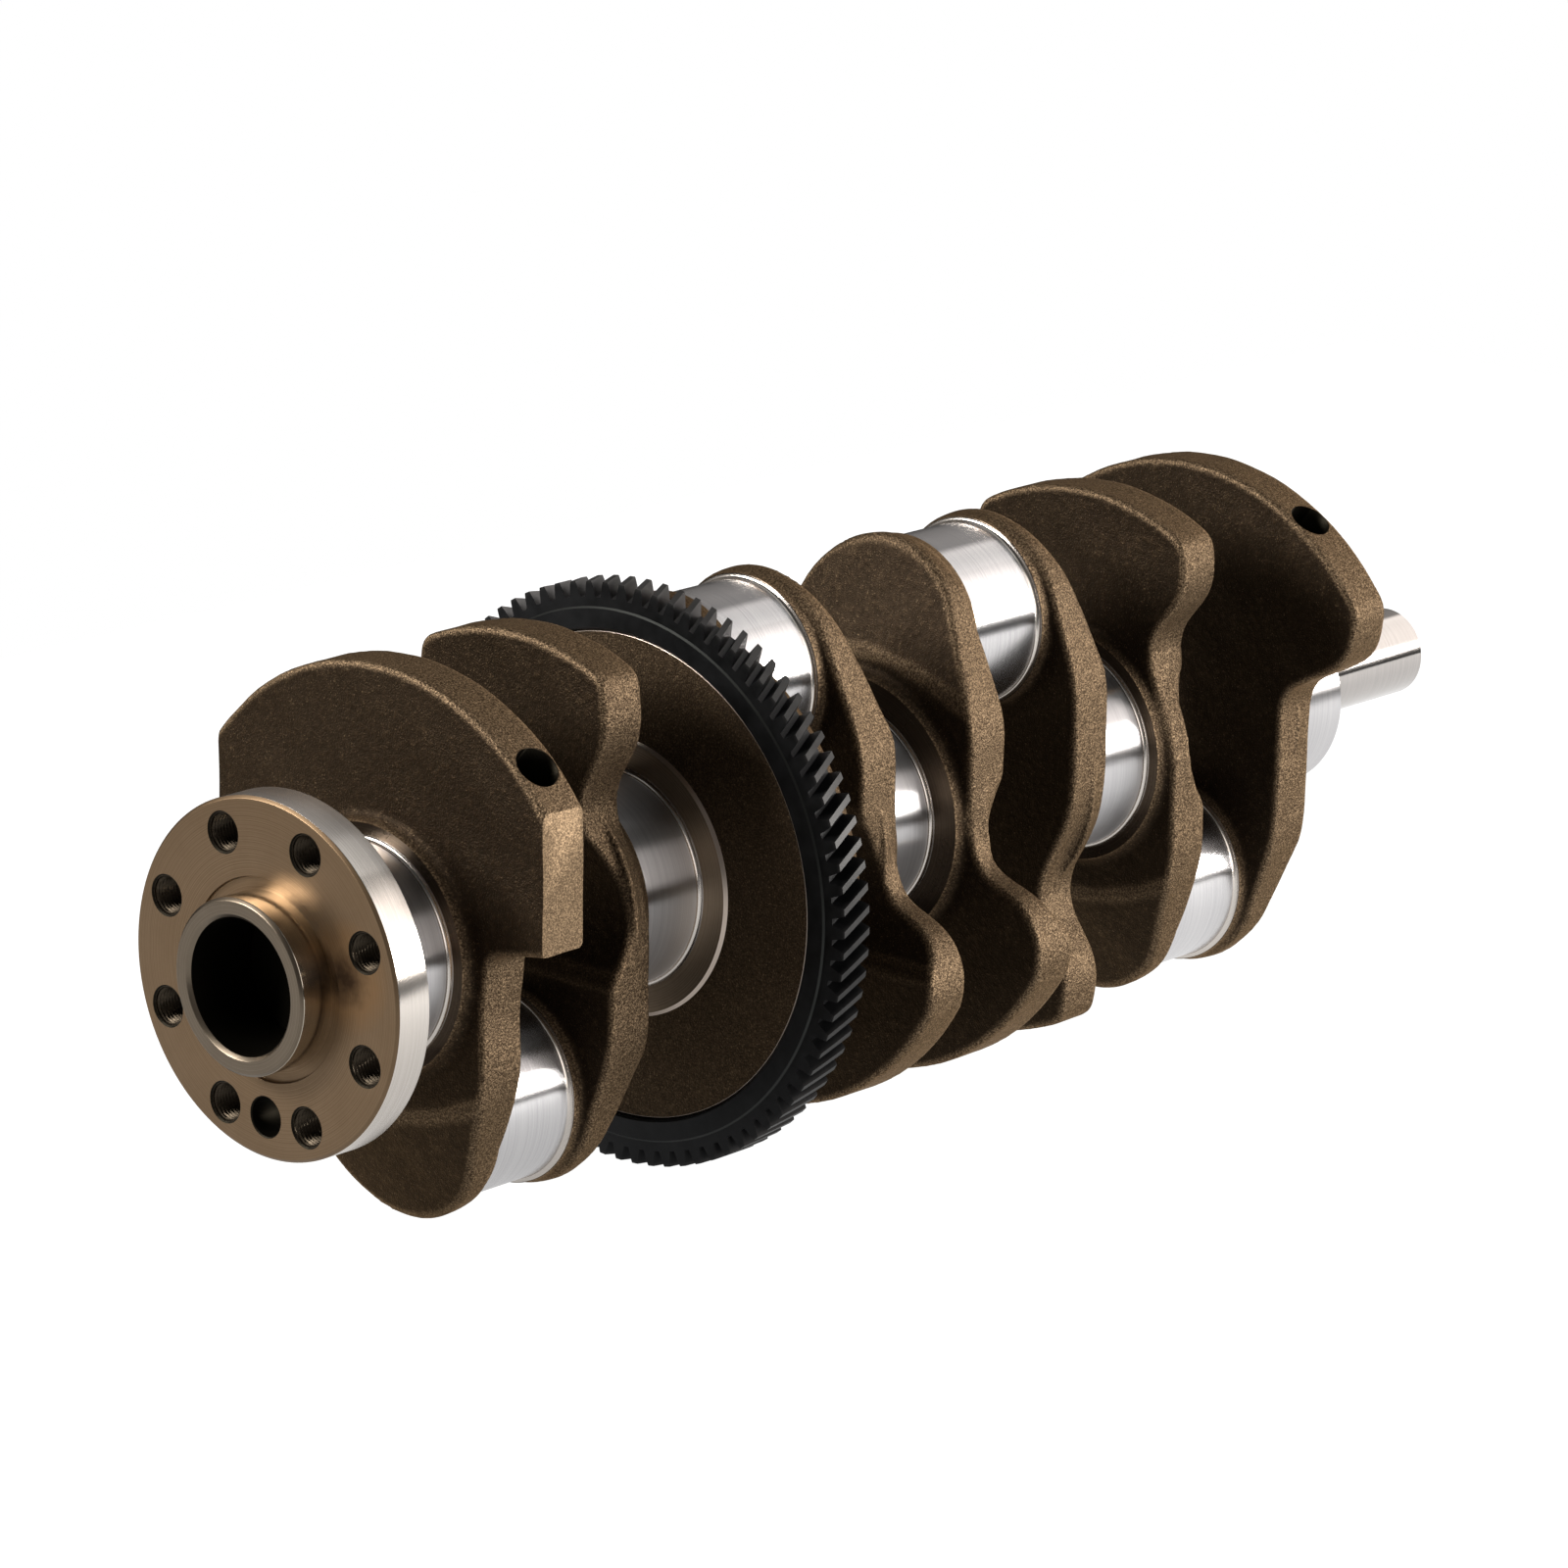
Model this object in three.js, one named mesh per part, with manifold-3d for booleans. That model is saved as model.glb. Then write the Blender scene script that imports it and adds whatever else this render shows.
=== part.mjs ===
// Crankshaft of a four-cylinder in-line engine, with the ring gear that drives its balancer shafts.
//
// Frame: +X runs along the crank axis from the flywheel flange to the pulley nose, +Z is the side
// on which the two inner crankpins stand, and the origin is the centre of the middle main journal.
// Sections are numbered from the nose: crankpin 1 and web 1 are at the nose, web 8 is at the flange.
// Units are millimetres.

import * as THREE from "three";
import { mergeVertices } from "three/addons/utils/BufferGeometryUtils.js";
import Module from "manifold-3d";

const wasm = await Module();
wasm.setup();

// ---------------------------------------------------------------- driving dimensions

const BORE_PITCH = 90; // distance between cylinders, and between main journals
const THROW = 45.6; // crank radius, half of the stroke
const CYLINDERS = 4;
const MAINS = CYLINDERS + 1;

const MAIN_RADIUS = 28;
const MAIN_LENGTH = 23.4; // between the ground boss faces
const PIN_RADIUS = 24.5;
const PIN_LENGTH = 26.6;
const JOURNAL_FILLET = 1.2;
const OIL_HOLE_RADIUS = 2.5;
const OIL_HOLE_DEPTH = 9;

const WEB_THICKNESS = 14; // the forged plate between its two bosses
const BOSS_DRAFT = 1.4; // how much a boss widens towards its web
const BOSS_ROOT = 1.5; // how far a boss runs on inside its web
const MAIN_BOSS_RADIUS = 32.2;
const THRUST_BOSS_RADIUS = 36.5; // the wider bosses round the middle journals
const PIN_BOSS_RADIUS = 25.9;
const PIN_BOSS_DRAFT = 0.4;

const COUNTERWEIGHT_RADIUS = 72;
const LOBE_HALF_WIDTH = 28.8; // the rounded end of a web around its crankpin, a little flattened
const LOBE_REACH = 26.4; // from the crankpin's axis to the end of the web
const LOBE_START = THREE.MathUtils.degToRad(-22); // where a web's straight side meets the lobe
const HUB_FOOT = -30; // where the straight side starts to narrow towards the lobe
const NARROW_SHOULDER = 6; // a narrow counterweight's arc stops this far inside its sides
const NARROW_LEAN = 1.8; // and its sides lean in by this much towards the arc
const BEVEL_CENTRE = 25.4; // the main-journal face slopes away outside a circle round this height
const BEVEL_RADIUS = 68;
const BEVEL_SLOPE = 0.31;
const BEVEL_REACH = 36; // beyond the circle, past the end of the lobe
const SCOOP_CENTRE = 6.25; // clearance scoop across a web's crankpin face
const SCOOP_HALF_CHORD = 18.75;
const SCOOP_DEPTH = 7.2;
const BALANCE_HOLE_RADIUS = 5.8;
const BALANCE_HOLE_DEPTH = 15;
const REAR_HOLE_ANGLE = THREE.MathUtils.degToRad(41.4); // from +Z towards -Y
const FRONT_HOLE_ANGLE = THREE.MathUtils.degToRad(32.4);

const FLANGE_RADIUS = 45.7;
const FLANGE_THICKNESS = 11.2;
const FLANGE_BOSS = 0.9; // ground ring behind the flange
const FLANGE_CHAMFER = 0.8;
const BOLT_CIRCLE_RADIUS = 37.25;
const BOLT_COUNT = 8;
const THREAD_RADIUS = 4.6; // tapping size of M10 x 1
const THREAD_MOUTH = 0.6; // countersink at each mouth
const DOWEL_CIRCLE_RADIUS = 35;
const DOWEL_RADIUS = 5.1;
const COLLAR_RADIUS = 22.3;
const COLLAR_HEIGHT = 9;
const COLLAR_CHAMFER = 0.8;
const RELIEF_RADIUS = 25.7; // groove turned round the foot of the collar
const RELIEF_DEPTH = 1.2;
const PILOT_RADIUS = 17.3;
const PILOT_CHAMFER = 1;

const GEAR_TEETH = 84;
const GEAR_TIP_RADIUS = 76.6;
const GEAR_ROOT_RADIUS = 72.5;
const GEAR_HELIX = THREE.MathUtils.degToRad(28);
const GEAR_WIDTH = 10.5;
const GEAR_BORE_RADIUS = 64.2;
const GEAR_TIP_SHARE = 0.34; // share of one tooth pitch taken by the tooth at its tip
const GEAR_ROOT_SHARE = 0.66; // and at its root
const GEAR_TWIST_STEPS = 2;
const GEAR_PROUD = 1; // how far the gear stands in front of the disc
const GEAR_FIT_GAP = 0.2;
const DISC_BOSS = 0.8;
const DISC_BOSS_DRAFT = 0.4;
const DISC_SHOULDER_RADIUS = 68.5;

const NOSE_RADIUS = 12.5;
const NOSE_LENGTH = 59;
const NOSE_CHAMFER = 1;
const NOSE_THREAD_RADIUS = 5.1; // tapping size of M12
const NOSE_THREAD_MOUTH = 1.3;
const NOSE_THREAD_DEPTH = 32;
const FRONT_JOURNAL_LENGTH = 22.4; // main journal 1 ends in a chamfer instead of a fillet
const FRONT_JOURNAL_CHAMFER = 1;

const ROUND_SEGMENTS = 40;
const DISC_SEGMENTS = 64;
const HOLE_SEGMENTS = 16;
const ARC_POINTS = 10;
const CUT_MARGIN = 5; // how far a cutting shape runs past the solid that it cuts
const WELD_DISTANCE = 1e-4; // vertices nearer than this are one vertex

// ---------------------------------------------------------------- stations along the shaft

const HALF_MAIN = MAIN_LENGTH / 2;
const HALF_PIN = PIN_LENGTH / 2;
const BOSS_HEIGHT = (BORE_PITCH / 2 - HALF_MAIN - HALF_PIN - WEB_THICKNESS) / 2;
const MIDDLE_MAIN = (MAINS + 1) / 2;
const mainCentre = (number) => (MIDDLE_MAIN - number) * BORE_PITCH;
const pinCentre = (number) => mainCentre(number) - BORE_PITCH / 2;
const pinHeight = (number) => (number === 2 || number === 3 ? THROW : -THROW);

const FLANGE_BOSS_FACE = mainCentre(MAINS) - HALF_MAIN;
const FLANGE_BACK = FLANGE_BOSS_FACE - FLANGE_BOSS;
const FLANGE_FACE = FLANGE_BACK - FLANGE_THICKNESS;
const RELIEF_FLOOR = FLANGE_FACE + RELIEF_DEPTH;
const GEAR_FACE = mainCentre(4) + HALF_MAIN + DISC_BOSS - GEAR_PROUD;
const GEAR_BACK = GEAR_FACE + GEAR_WIDTH;
const FRONT_JOURNAL_END = mainCentre(1) - HALF_MAIN + FRONT_JOURNAL_LENGTH;
const NOSE_END = FRONT_JOURNAL_END + NOSE_LENGTH;

// ---------------------------------------------------------------- materials

const finish = (color, roughness, metalness) =>
  new THREE.MeshStandardMaterial({ color, roughness, metalness });
const forged = () => finish(0x57432f, 0.75, 0.6);
const ground = () => finish(0xc9c7c6, 0.12, 1);
const turned = () => finish(0xa08663, 0.4, 0.9);
const blackened = () => finish(0x15161a, 0.45, 0.7);

// ---------------------------------------------------------------- solids

// A closed three.js geometry as a solid that can be joined and cut.
function solid(geometry) {
  const plain = geometry.index ? geometry.toNonIndexed() : geometry.clone();
  plain.deleteAttribute("normal");
  plain.deleteAttribute("uv");
  const merged = mergeVertices(plain, WELD_DISTANCE);
  return new wasm.Manifold(
    new wasm.Mesh({
      numProp: 3,
      vertProperties: merged.attributes.position.array,
      triVerts: new Uint32Array(merged.index.array),
    }),
  );
}

// A finished solid as a named mesh.
function piece(name, body, material) {
  const { vertProperties, triVerts } = body.getMesh();
  const geometry = new THREE.BufferGeometry();
  geometry.setAttribute("position", new THREE.BufferAttribute(vertProperties, 3));
  geometry.setIndex(new THREE.BufferAttribute(triVerts, 1));
  geometry.computeVertexNormals();
  const mesh = new THREE.Mesh(geometry, material);
  mesh.name = name;
  return mesh;
}

// A turned solid about an axis along X: the profile lists [x, radius] with rising x.
function turning(profile, segments, height = 0) {
  const points = profile.map(([x, radius]) => new THREE.Vector2(radius, x));
  const geometry = new THREE.LatheGeometry(points, segments);
  geometry.rotateZ(-Math.PI / 2);
  geometry.translate(0, 0, height);
  return solid(geometry);
}

// A shape drawn in the Y-Z plane, extruded along X from one station to another.
function plate(shape, from, to, steps = 1) {
  const geometry = new THREE.ExtrudeGeometry(shape, {
    depth: to - from,
    steps,
    bevelEnabled: false,
    curveSegments: ARC_POINTS,
  });
  const drawnToWorld = new THREE.Matrix4().makeBasis(
    new THREE.Vector3(0, 1, 0),
    new THREE.Vector3(0, 0, 1),
    new THREE.Vector3(1, 0, 0),
  );
  geometry.applyMatrix4(drawnToWorld);
  geometry.translate(from, 0, 0);
  return geometry;
}

// A round hole along X with a small countersink where it leaves the face at x = mouth.
function faceHole(mouth, depth, radius, countersink, y, z) {
  const hole = turning(
    [
      [mouth - CUT_MARGIN, 0],
      [mouth - CUT_MARGIN, radius + countersink],
      [mouth, radius + countersink],
      [mouth + countersink, radius],
      [mouth + depth, radius],
      [mouth + depth, 0],
    ],
    HOLE_SEGMENTS,
  );
  return hole.translate([0, y, z]);
}

// A round hole drilled square to the crank axis: the angle is measured from +Z towards -Y.
function crossHole(x, height, angle, outer, depth, radius) {
  const length = depth + CUT_MARGIN;
  const drill = new THREE.CylinderGeometry(radius, radius, length, HOLE_SEGMENTS);
  drill.rotateX(Math.PI / 2);
  drill.translate(0, 0, outer + CUT_MARGIN - length / 2);
  drill.rotateX(angle);
  drill.translate(x, 0, height);
  return solid(drill);
}

// ---------------------------------------------------------------- journals

// Half of a fillet between a journal and the boss face beside it, as [distance, radius] steps.
function filletSteps(radius) {
  const middle = JOURNAL_FILLET * (1 - Math.SQRT1_2);
  return [
    [0, radius + JOURNAL_FILLET],
    [middle, radius + middle],
    [JOURNAL_FILLET, radius],
  ];
}

// The mouth of an oil drilling, on a journal's +Y side.
function oilHole(x, height, journalRadius) {
  const towardsY = -Math.PI / 2;
  return crossHole(x, height, towardsY, journalRadius, OIL_HOLE_DEPTH, OIL_HOLE_RADIUS);
}

function journal(centre, length, radius, height) {
  const start = centre - length / 2;
  const end = centre + length / 2;
  const rising = filletSteps(radius).map(([step, r]) => [start + step, r]);
  const falling = filletSteps(radius).map(([step, r]) => [end - step, r]);
  const profile = [[start, 0], ...rising, ...falling.reverse(), [end, 0]];
  return turning(profile, ROUND_SEGMENTS, height).subtract(oilHole(centre, height, radius));
}

function frontJournal() {
  const start = mainCentre(1) - HALF_MAIN;
  const rising = filletSteps(MAIN_RADIUS).map(([step, r]) => [start + step, r]);
  const profile = [
    [start, 0],
    ...rising,
    [FRONT_JOURNAL_END - FRONT_JOURNAL_CHAMFER, MAIN_RADIUS],
    [FRONT_JOURNAL_END, MAIN_RADIUS - FRONT_JOURNAL_CHAMFER],
    [FRONT_JOURNAL_END, 0],
  ];
  return turning(profile, ROUND_SEGMENTS).subtract(oilHole(mainCentre(1), 0, MAIN_RADIUS));
}

function nose() {
  const threadFloor = NOSE_END - NOSE_THREAD_DEPTH;
  const profile = [
    [threadFloor, 0],
    [threadFloor, NOSE_THREAD_RADIUS],
    [NOSE_END - NOSE_THREAD_MOUTH, NOSE_THREAD_RADIUS],
    [NOSE_END, NOSE_THREAD_RADIUS + NOSE_THREAD_MOUTH],
    [NOSE_END, NOSE_RADIUS - NOSE_CHAMFER],
    [NOSE_END - NOSE_CHAMFER, NOSE_RADIUS],
    [FRONT_JOURNAL_END, NOSE_RADIUS],
    [FRONT_JOURNAL_END, 0],
  ];
  return turning(profile.reverse(), ROUND_SEGMENTS);
}

// ---------------------------------------------------------------- flywheel end

function collar() {
  const mouth = FLANGE_FACE - COLLAR_HEIGHT;
  const profile = [
    [RELIEF_FLOOR, PILOT_RADIUS],
    [mouth + PILOT_CHAMFER, PILOT_RADIUS],
    [mouth, PILOT_RADIUS + PILOT_CHAMFER],
    [mouth, COLLAR_RADIUS - COLLAR_CHAMFER],
    [mouth + COLLAR_CHAMFER, COLLAR_RADIUS],
    [RELIEF_FLOOR, COLLAR_RADIUS],
    [RELIEF_FLOOR, PILOT_RADIUS],
  ];
  return turning(profile, ROUND_SEGMENTS);
}

function flange() {
  const profile = [
    [FLANGE_BOSS_FACE, PILOT_RADIUS],
    [RELIEF_FLOOR, PILOT_RADIUS],
    [RELIEF_FLOOR, RELIEF_RADIUS],
    [FLANGE_FACE, RELIEF_RADIUS],
    [FLANGE_FACE, FLANGE_RADIUS - FLANGE_CHAMFER],
    [FLANGE_FACE + FLANGE_CHAMFER, FLANGE_RADIUS],
    [FLANGE_BACK, FLANGE_RADIUS],
    [FLANGE_BACK, MAIN_BOSS_RADIUS],
    [FLANGE_BOSS_FACE, MAIN_BOSS_RADIUS],
    [FLANGE_BOSS_FACE, PILOT_RADIUS],
  ];
  const through = FLANGE_THICKNESS + CUT_MARGIN;
  let body = turning(profile, DISC_SEGMENTS);
  for (let i = 0; i < BOLT_COUNT; i++) {
    const angle = ((i + 0.5) * 2 * Math.PI) / BOLT_COUNT;
    const y = BOLT_CIRCLE_RADIUS * Math.sin(angle);
    const z = BOLT_CIRCLE_RADIUS * Math.cos(angle);
    body = body.subtract(faceHole(FLANGE_FACE, through, THREAD_RADIUS, THREAD_MOUTH, y, z));
  }
  const low = -DOWEL_CIRCLE_RADIUS;
  return body.subtract(faceHole(FLANGE_FACE, through, DOWEL_RADIUS, THREAD_MOUTH, 0, low));
}

// ---------------------------------------------------------------- web outlines

// Goes towards a corner and round it with the given radius, heading for the next point.
function roundCorner(path, corner, next, radius) {
  const inward = path.currentPoint.clone().sub(corner).setLength(radius);
  const outward = next.clone().sub(corner).setLength(radius);
  const start = corner.clone().add(inward);
  const end = corner.clone().add(outward);
  path.lineTo(start.x, start.y);
  path.quadraticCurveTo(corner.x, corner.y, end.x, end.y);
}

// The outline of a web, drawn with its counterweight up. It starts as the counterweight's arc, which
// ends at half width shoulderWidth, goes down through the corners [y, z, radius], and ends round the
// crankpin. The other half is its mirror image. side is 1 for a counterweight on the +Z side, or -1.
function webOutline(shoulderWidth, corners, side) {
  const half = new THREE.Path();
  const shoulderAngle = Math.acos(shoulderWidth / COUNTERWEIGHT_RADIUS);
  half.absarc(0, 0, COUNTERWEIGHT_RADIUS, Math.PI / 2, shoulderAngle, true);
  const lobeStart = new THREE.Vector2(
    LOBE_HALF_WIDTH * Math.cos(LOBE_START),
    LOBE_REACH * Math.sin(LOBE_START) - THROW,
  );
  const turns = corners.map(([y, z]) => new THREE.Vector2(y, z));
  corners.forEach(([, , radius], i) => {
    roundCorner(half, turns[i], turns[i + 1] ?? lobeStart, radius);
  });
  const foot = -Math.PI / 2;
  half.absellipse(0, -THROW, LOBE_HALF_WIDTH, LOBE_REACH, LOBE_START, foot, true, 0);
  const right = half.getPoints(ARC_POINTS / 2);
  const left = right.slice(1, -1).reverse().map((p) => new THREE.Vector2(-p.x, p.y));
  return new THREE.Shape([...right, ...left].map((p) => new THREE.Vector2(p.x, p.y * side)));
}

// Counterweight with machined flats on both sides, above a narrow neck.
const flatSidedOutline = (side) =>
  webOutline(
    56.3,
    [
      [56.3, 9.5, 3],
      [38, 5.5, 4],
      [36, -12, 6],
      [36.8, HUB_FOOT, 8],
    ],
    side,
  );

// Wide counterweight whose lower edges slope in to the neck.
const wideOutline = (side) =>
  webOutline(
    56,
    [
      [61, 39.1, 4],
      [59, 24.3, 8],
      [36.3, 12.4, 6],
      [35.5, HUB_FOOT, 8],
    ],
    side,
  );

// Wide counterweight with drooping shoulders, beside the middle journal.
const shoulderedOutline = (side) =>
  webOutline(
    62.6,
    [
      [64.6, 27.5, 6],
      [58.5, 15.8, 6],
      [43, 10, 5],
      [39, 0, 5],
      [39, HUB_FOOT, 8],
    ],
    side,
  );

// Narrow counterweight on a waist.
const narrowOutline = (width, waist) => (side) => {
  const arcEnd = width - NARROW_SHOULDER;
  const arcEndHeight = Math.sqrt(COUNTERWEIGHT_RADIUS ** 2 - arcEnd ** 2);
  const shoulderDrop = ((NARROW_SHOULDER - NARROW_LEAN) * arcEnd) / arcEndHeight;
  const corners = [
    [width - NARROW_LEAN, arcEndHeight - shoulderDrop, 4],
    [width, 49, 7],
    [waist, 34.5, 5],
    [waist, 26, 5],
    [36, 4, 9],
    [36, HUB_FOOT, 8],
  ];
  return webOutline(arcEnd, corners, side);
};

// ---------------------------------------------------------------- webs

// A boss that stands on a web and widens by its draft towards the web. towards is the direction
// along X in which it stands.
function boss(face, towards, radius, draft, z) {
  const base = face - towards * BOSS_HEIGHT;
  const root = base - towards * BOSS_ROOT;
  const profile = [
    [face, 0],
    [face, radius],
    [base, radius + draft],
    [root, radius + draft],
    [root, 0],
  ];
  return turning(towards > 0 ? profile.reverse() : profile, ROUND_SEGMENTS, z);
}

// The ring that is missing from a web's main-journal face, which slopes away round the crankpin.
function bevelCutter(face, inward, side) {
  const outer = BEVEL_RADIUS + BEVEL_REACH;
  const front = face - inward * BEVEL_SLOPE * CUT_MARGIN;
  const profile = [
    [front, BEVEL_RADIUS - CUT_MARGIN],
    [front, outer],
    [face + inward * BEVEL_SLOPE * BEVEL_REACH, outer],
    [front, BEVEL_RADIUS - CUT_MARGIN],
  ];
  return turning(inward > 0 ? profile : profile.reverse(), DISC_SEGMENTS, side * BEVEL_CENTRE);
}

// The clearance scoop across a web's crankpin face, where the connecting rod's big end sweeps past.
function scoopCutter(face, outward, side) {
  const radius = (SCOOP_HALF_CHORD ** 2 + SCOOP_DEPTH ** 2) / (2 * SCOOP_DEPTH);
  const cylinder = new THREE.CylinderGeometry(radius, radius, 4 * THROW, ROUND_SEGMENTS);
  cylinder.translate(face + outward * (radius - SCOOP_DEPTH), 0, side * SCOOP_CENTRE);
  return solid(cylinder);
}

// web number: { outline, scooped, thrust, holeAngle }
const WEBS = {
  1: { outline: wideOutline, holeAngle: FRONT_HOLE_ANGLE },
  2: { outline: narrowOutline(38, 26.4), scooped: true },
  3: { outline: narrowOutline(35.5, 25) },
  4: { outline: shoulderedOutline, scooped: true, thrust: true },
  5: { outline: shoulderedOutline, scooped: true, thrust: true },
  7: { outline: narrowOutline(33.3, 24.6), scooped: true },
  8: { outline: flatSidedOutline, holeAngle: REAR_HOLE_ANGLE },
};

function web(number) {
  const { outline, scooped, thrust, holeAngle } = WEBS[number];
  const mainNumber = Math.floor(number / 2) + 1;
  const pinNumber = Math.ceil(number / 2);
  const toPin = Math.sign(pinCentre(pinNumber) - mainCentre(mainNumber));
  const side = -Math.sign(pinHeight(pinNumber));
  const mainFace = mainCentre(mainNumber) + toPin * HALF_MAIN;
  const pinFace = pinCentre(pinNumber) - toPin * HALF_PIN;
  const plateFaces = [mainFace + toPin * BOSS_HEIGHT, pinFace - toPin * BOSS_HEIGHT];
  const geometry = plate(outline(side), Math.min(...plateFaces), Math.max(...plateFaces));
  let body = solid(geometry);
  body = body.subtract(bevelCutter(plateFaces[0], toPin, side));
  if (scooped) body = body.subtract(scoopCutter(plateFaces[1], toPin, side));
  if (holeAngle !== undefined) {
    const middle = (plateFaces[0] + plateFaces[1]) / 2;
    const rim = COUNTERWEIGHT_RADIUS;
    const hole = crossHole(middle, 0, holeAngle, rim, BALANCE_HOLE_DEPTH, BALANCE_HOLE_RADIUS);
    body = body.subtract(hole);
  }
  const mainBossRadius = thrust ? THRUST_BOSS_RADIUS : MAIN_BOSS_RADIUS;
  return body
    .add(boss(mainFace, -toPin, mainBossRadius, BOSS_DRAFT, 0))
    .add(boss(pinFace, toPin, PIN_BOSS_RADIUS, PIN_BOSS_DRAFT, pinHeight(pinNumber)));
}

// Web 6 is a full disc that carries the ring gear against its shoulder.
function gearDisc() {
  const bossFace = mainCentre(4) + HALF_MAIN;
  const discFace = bossFace + DISC_BOSS;
  const pinFace = pinCentre(3) - HALF_PIN;
  const backFace = pinFace - BOSS_HEIGHT;
  const seatRadius = GEAR_BORE_RADIUS - GEAR_FIT_GAP;
  const profile = [
    [bossFace, 0],
    [bossFace, THRUST_BOSS_RADIUS],
    [discFace, THRUST_BOSS_RADIUS + DISC_BOSS_DRAFT],
    [discFace, seatRadius],
    [GEAR_BACK, seatRadius],
    [GEAR_BACK, DISC_SHOULDER_RADIUS],
    [backFace, DISC_SHOULDER_RADIUS],
    [backFace, 0],
  ];
  const lobe = turning(
    [
      [GEAR_BACK, 0],
      [GEAR_BACK, PIN_BOSS_RADIUS - BOSS_DRAFT],
      [backFace, PIN_BOSS_RADIUS + PIN_BOSS_DRAFT],
      [backFace, 0],
    ],
    ROUND_SEGMENTS,
    THROW,
  );
  return turning(profile, DISC_SEGMENTS)
    .add(lobe)
    .add(boss(pinFace, 1, PIN_BOSS_RADIUS, PIN_BOSS_DRAFT, THROW));
}

// ---------------------------------------------------------------- ring gear

// A point in the Y-Z plane, at a radius and an angle.
function polar(radius, angle) {
  return new THREE.Vector2(radius * Math.cos(angle), radius * Math.sin(angle));
}

function gearOutline() {
  const pitch = (2 * Math.PI) / GEAR_TEETH;
  const corners = [
    [GEAR_ROOT_RADIUS, -GEAR_ROOT_SHARE / 2],
    [GEAR_TIP_RADIUS, -GEAR_TIP_SHARE / 2],
    [GEAR_TIP_RADIUS, GEAR_TIP_SHARE / 2],
    [GEAR_ROOT_RADIUS, GEAR_ROOT_SHARE / 2],
  ];
  const outline = [];
  for (let tooth = 0; tooth < GEAR_TEETH; tooth++) {
    outline.push(...corners.map(([radius, share]) => polar(radius, (tooth + share) * pitch)));
  }
  const bore = [];
  for (let i = 0; i < DISC_SEGMENTS; i++) {
    bore.push(polar(GEAR_BORE_RADIUS, (-i * 2 * Math.PI) / DISC_SEGMENTS));
  }
  const shape = new THREE.Shape(outline);
  shape.holes.push(new THREE.Path(bore));
  return shape;
}

// Outside its bore, the extruded gear is twisted about the crank axis, so its teeth run as a helix.
function ringGear() {
  const geometry = plate(gearOutline(), GEAR_FACE, GEAR_BACK, GEAR_TWIST_STEPS);
  const position = geometry.attributes.position;
  const point = new THREE.Vector3();
  const axis = new THREE.Vector3(1, 0, 0);
  const untwisted = (GEAR_BORE_RADIUS + GEAR_ROOT_RADIUS) / 2;
  for (let i = 0; i < position.count; i++) {
    point.fromBufferAttribute(position, i);
    if (Math.hypot(point.y, point.z) < untwisted) continue;
    const twist = (-Math.tan(GEAR_HELIX) * (point.x - GEAR_FACE)) / GEAR_TIP_RADIUS;
    point.applyAxisAngle(axis, twist);
    position.setXYZ(i, point.x, point.y, point.z);
  }
  return solid(geometry);
}

// ---------------------------------------------------------------- assembly

const crankshaft = new THREE.Group();
crankshaft.name = "crankshaft";

crankshaft.add(piece("pilot_collar", collar(), turned()));
crankshaft.add(piece("flywheel_flange", flange(), turned()));
for (let number = 2; number <= MAINS; number++) {
  const body = journal(mainCentre(number), MAIN_LENGTH, MAIN_RADIUS, 0);
  crankshaft.add(piece(`main_journal_${number}`, body, ground()));
}
crankshaft.add(piece("main_journal_1", frontJournal(), ground()));
for (let number = 1; number <= CYLINDERS; number++) {
  const body = journal(pinCentre(number), PIN_LENGTH, PIN_RADIUS, pinHeight(number));
  crankshaft.add(piece(`crankpin_${number}`, body, ground()));
}
for (const number of Object.keys(WEBS).map(Number)) {
  crankshaft.add(piece(`crank_web_${number}`, web(number), forged()));
}
crankshaft.add(piece("crank_web_6_gear_disc", gearDisc(), forged()));
crankshaft.add(piece("balancer_ring_gear", ringGear(), blackened()));
crankshaft.add(piece("pulley_nose", nose(), ground()));

export default crankshaft;
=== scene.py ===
"""The looks of a four-cylinder crankshaft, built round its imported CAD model.

Shapes are worked out in millimetres in the CAD model's frame: +X along the crank axis towards the
nose, +Z towards the inner crankpins. Meshes are stored in metres.
"""

import math

import bmesh
import bpy
import numpy as np
from mathutils import Matrix, Vector


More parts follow.
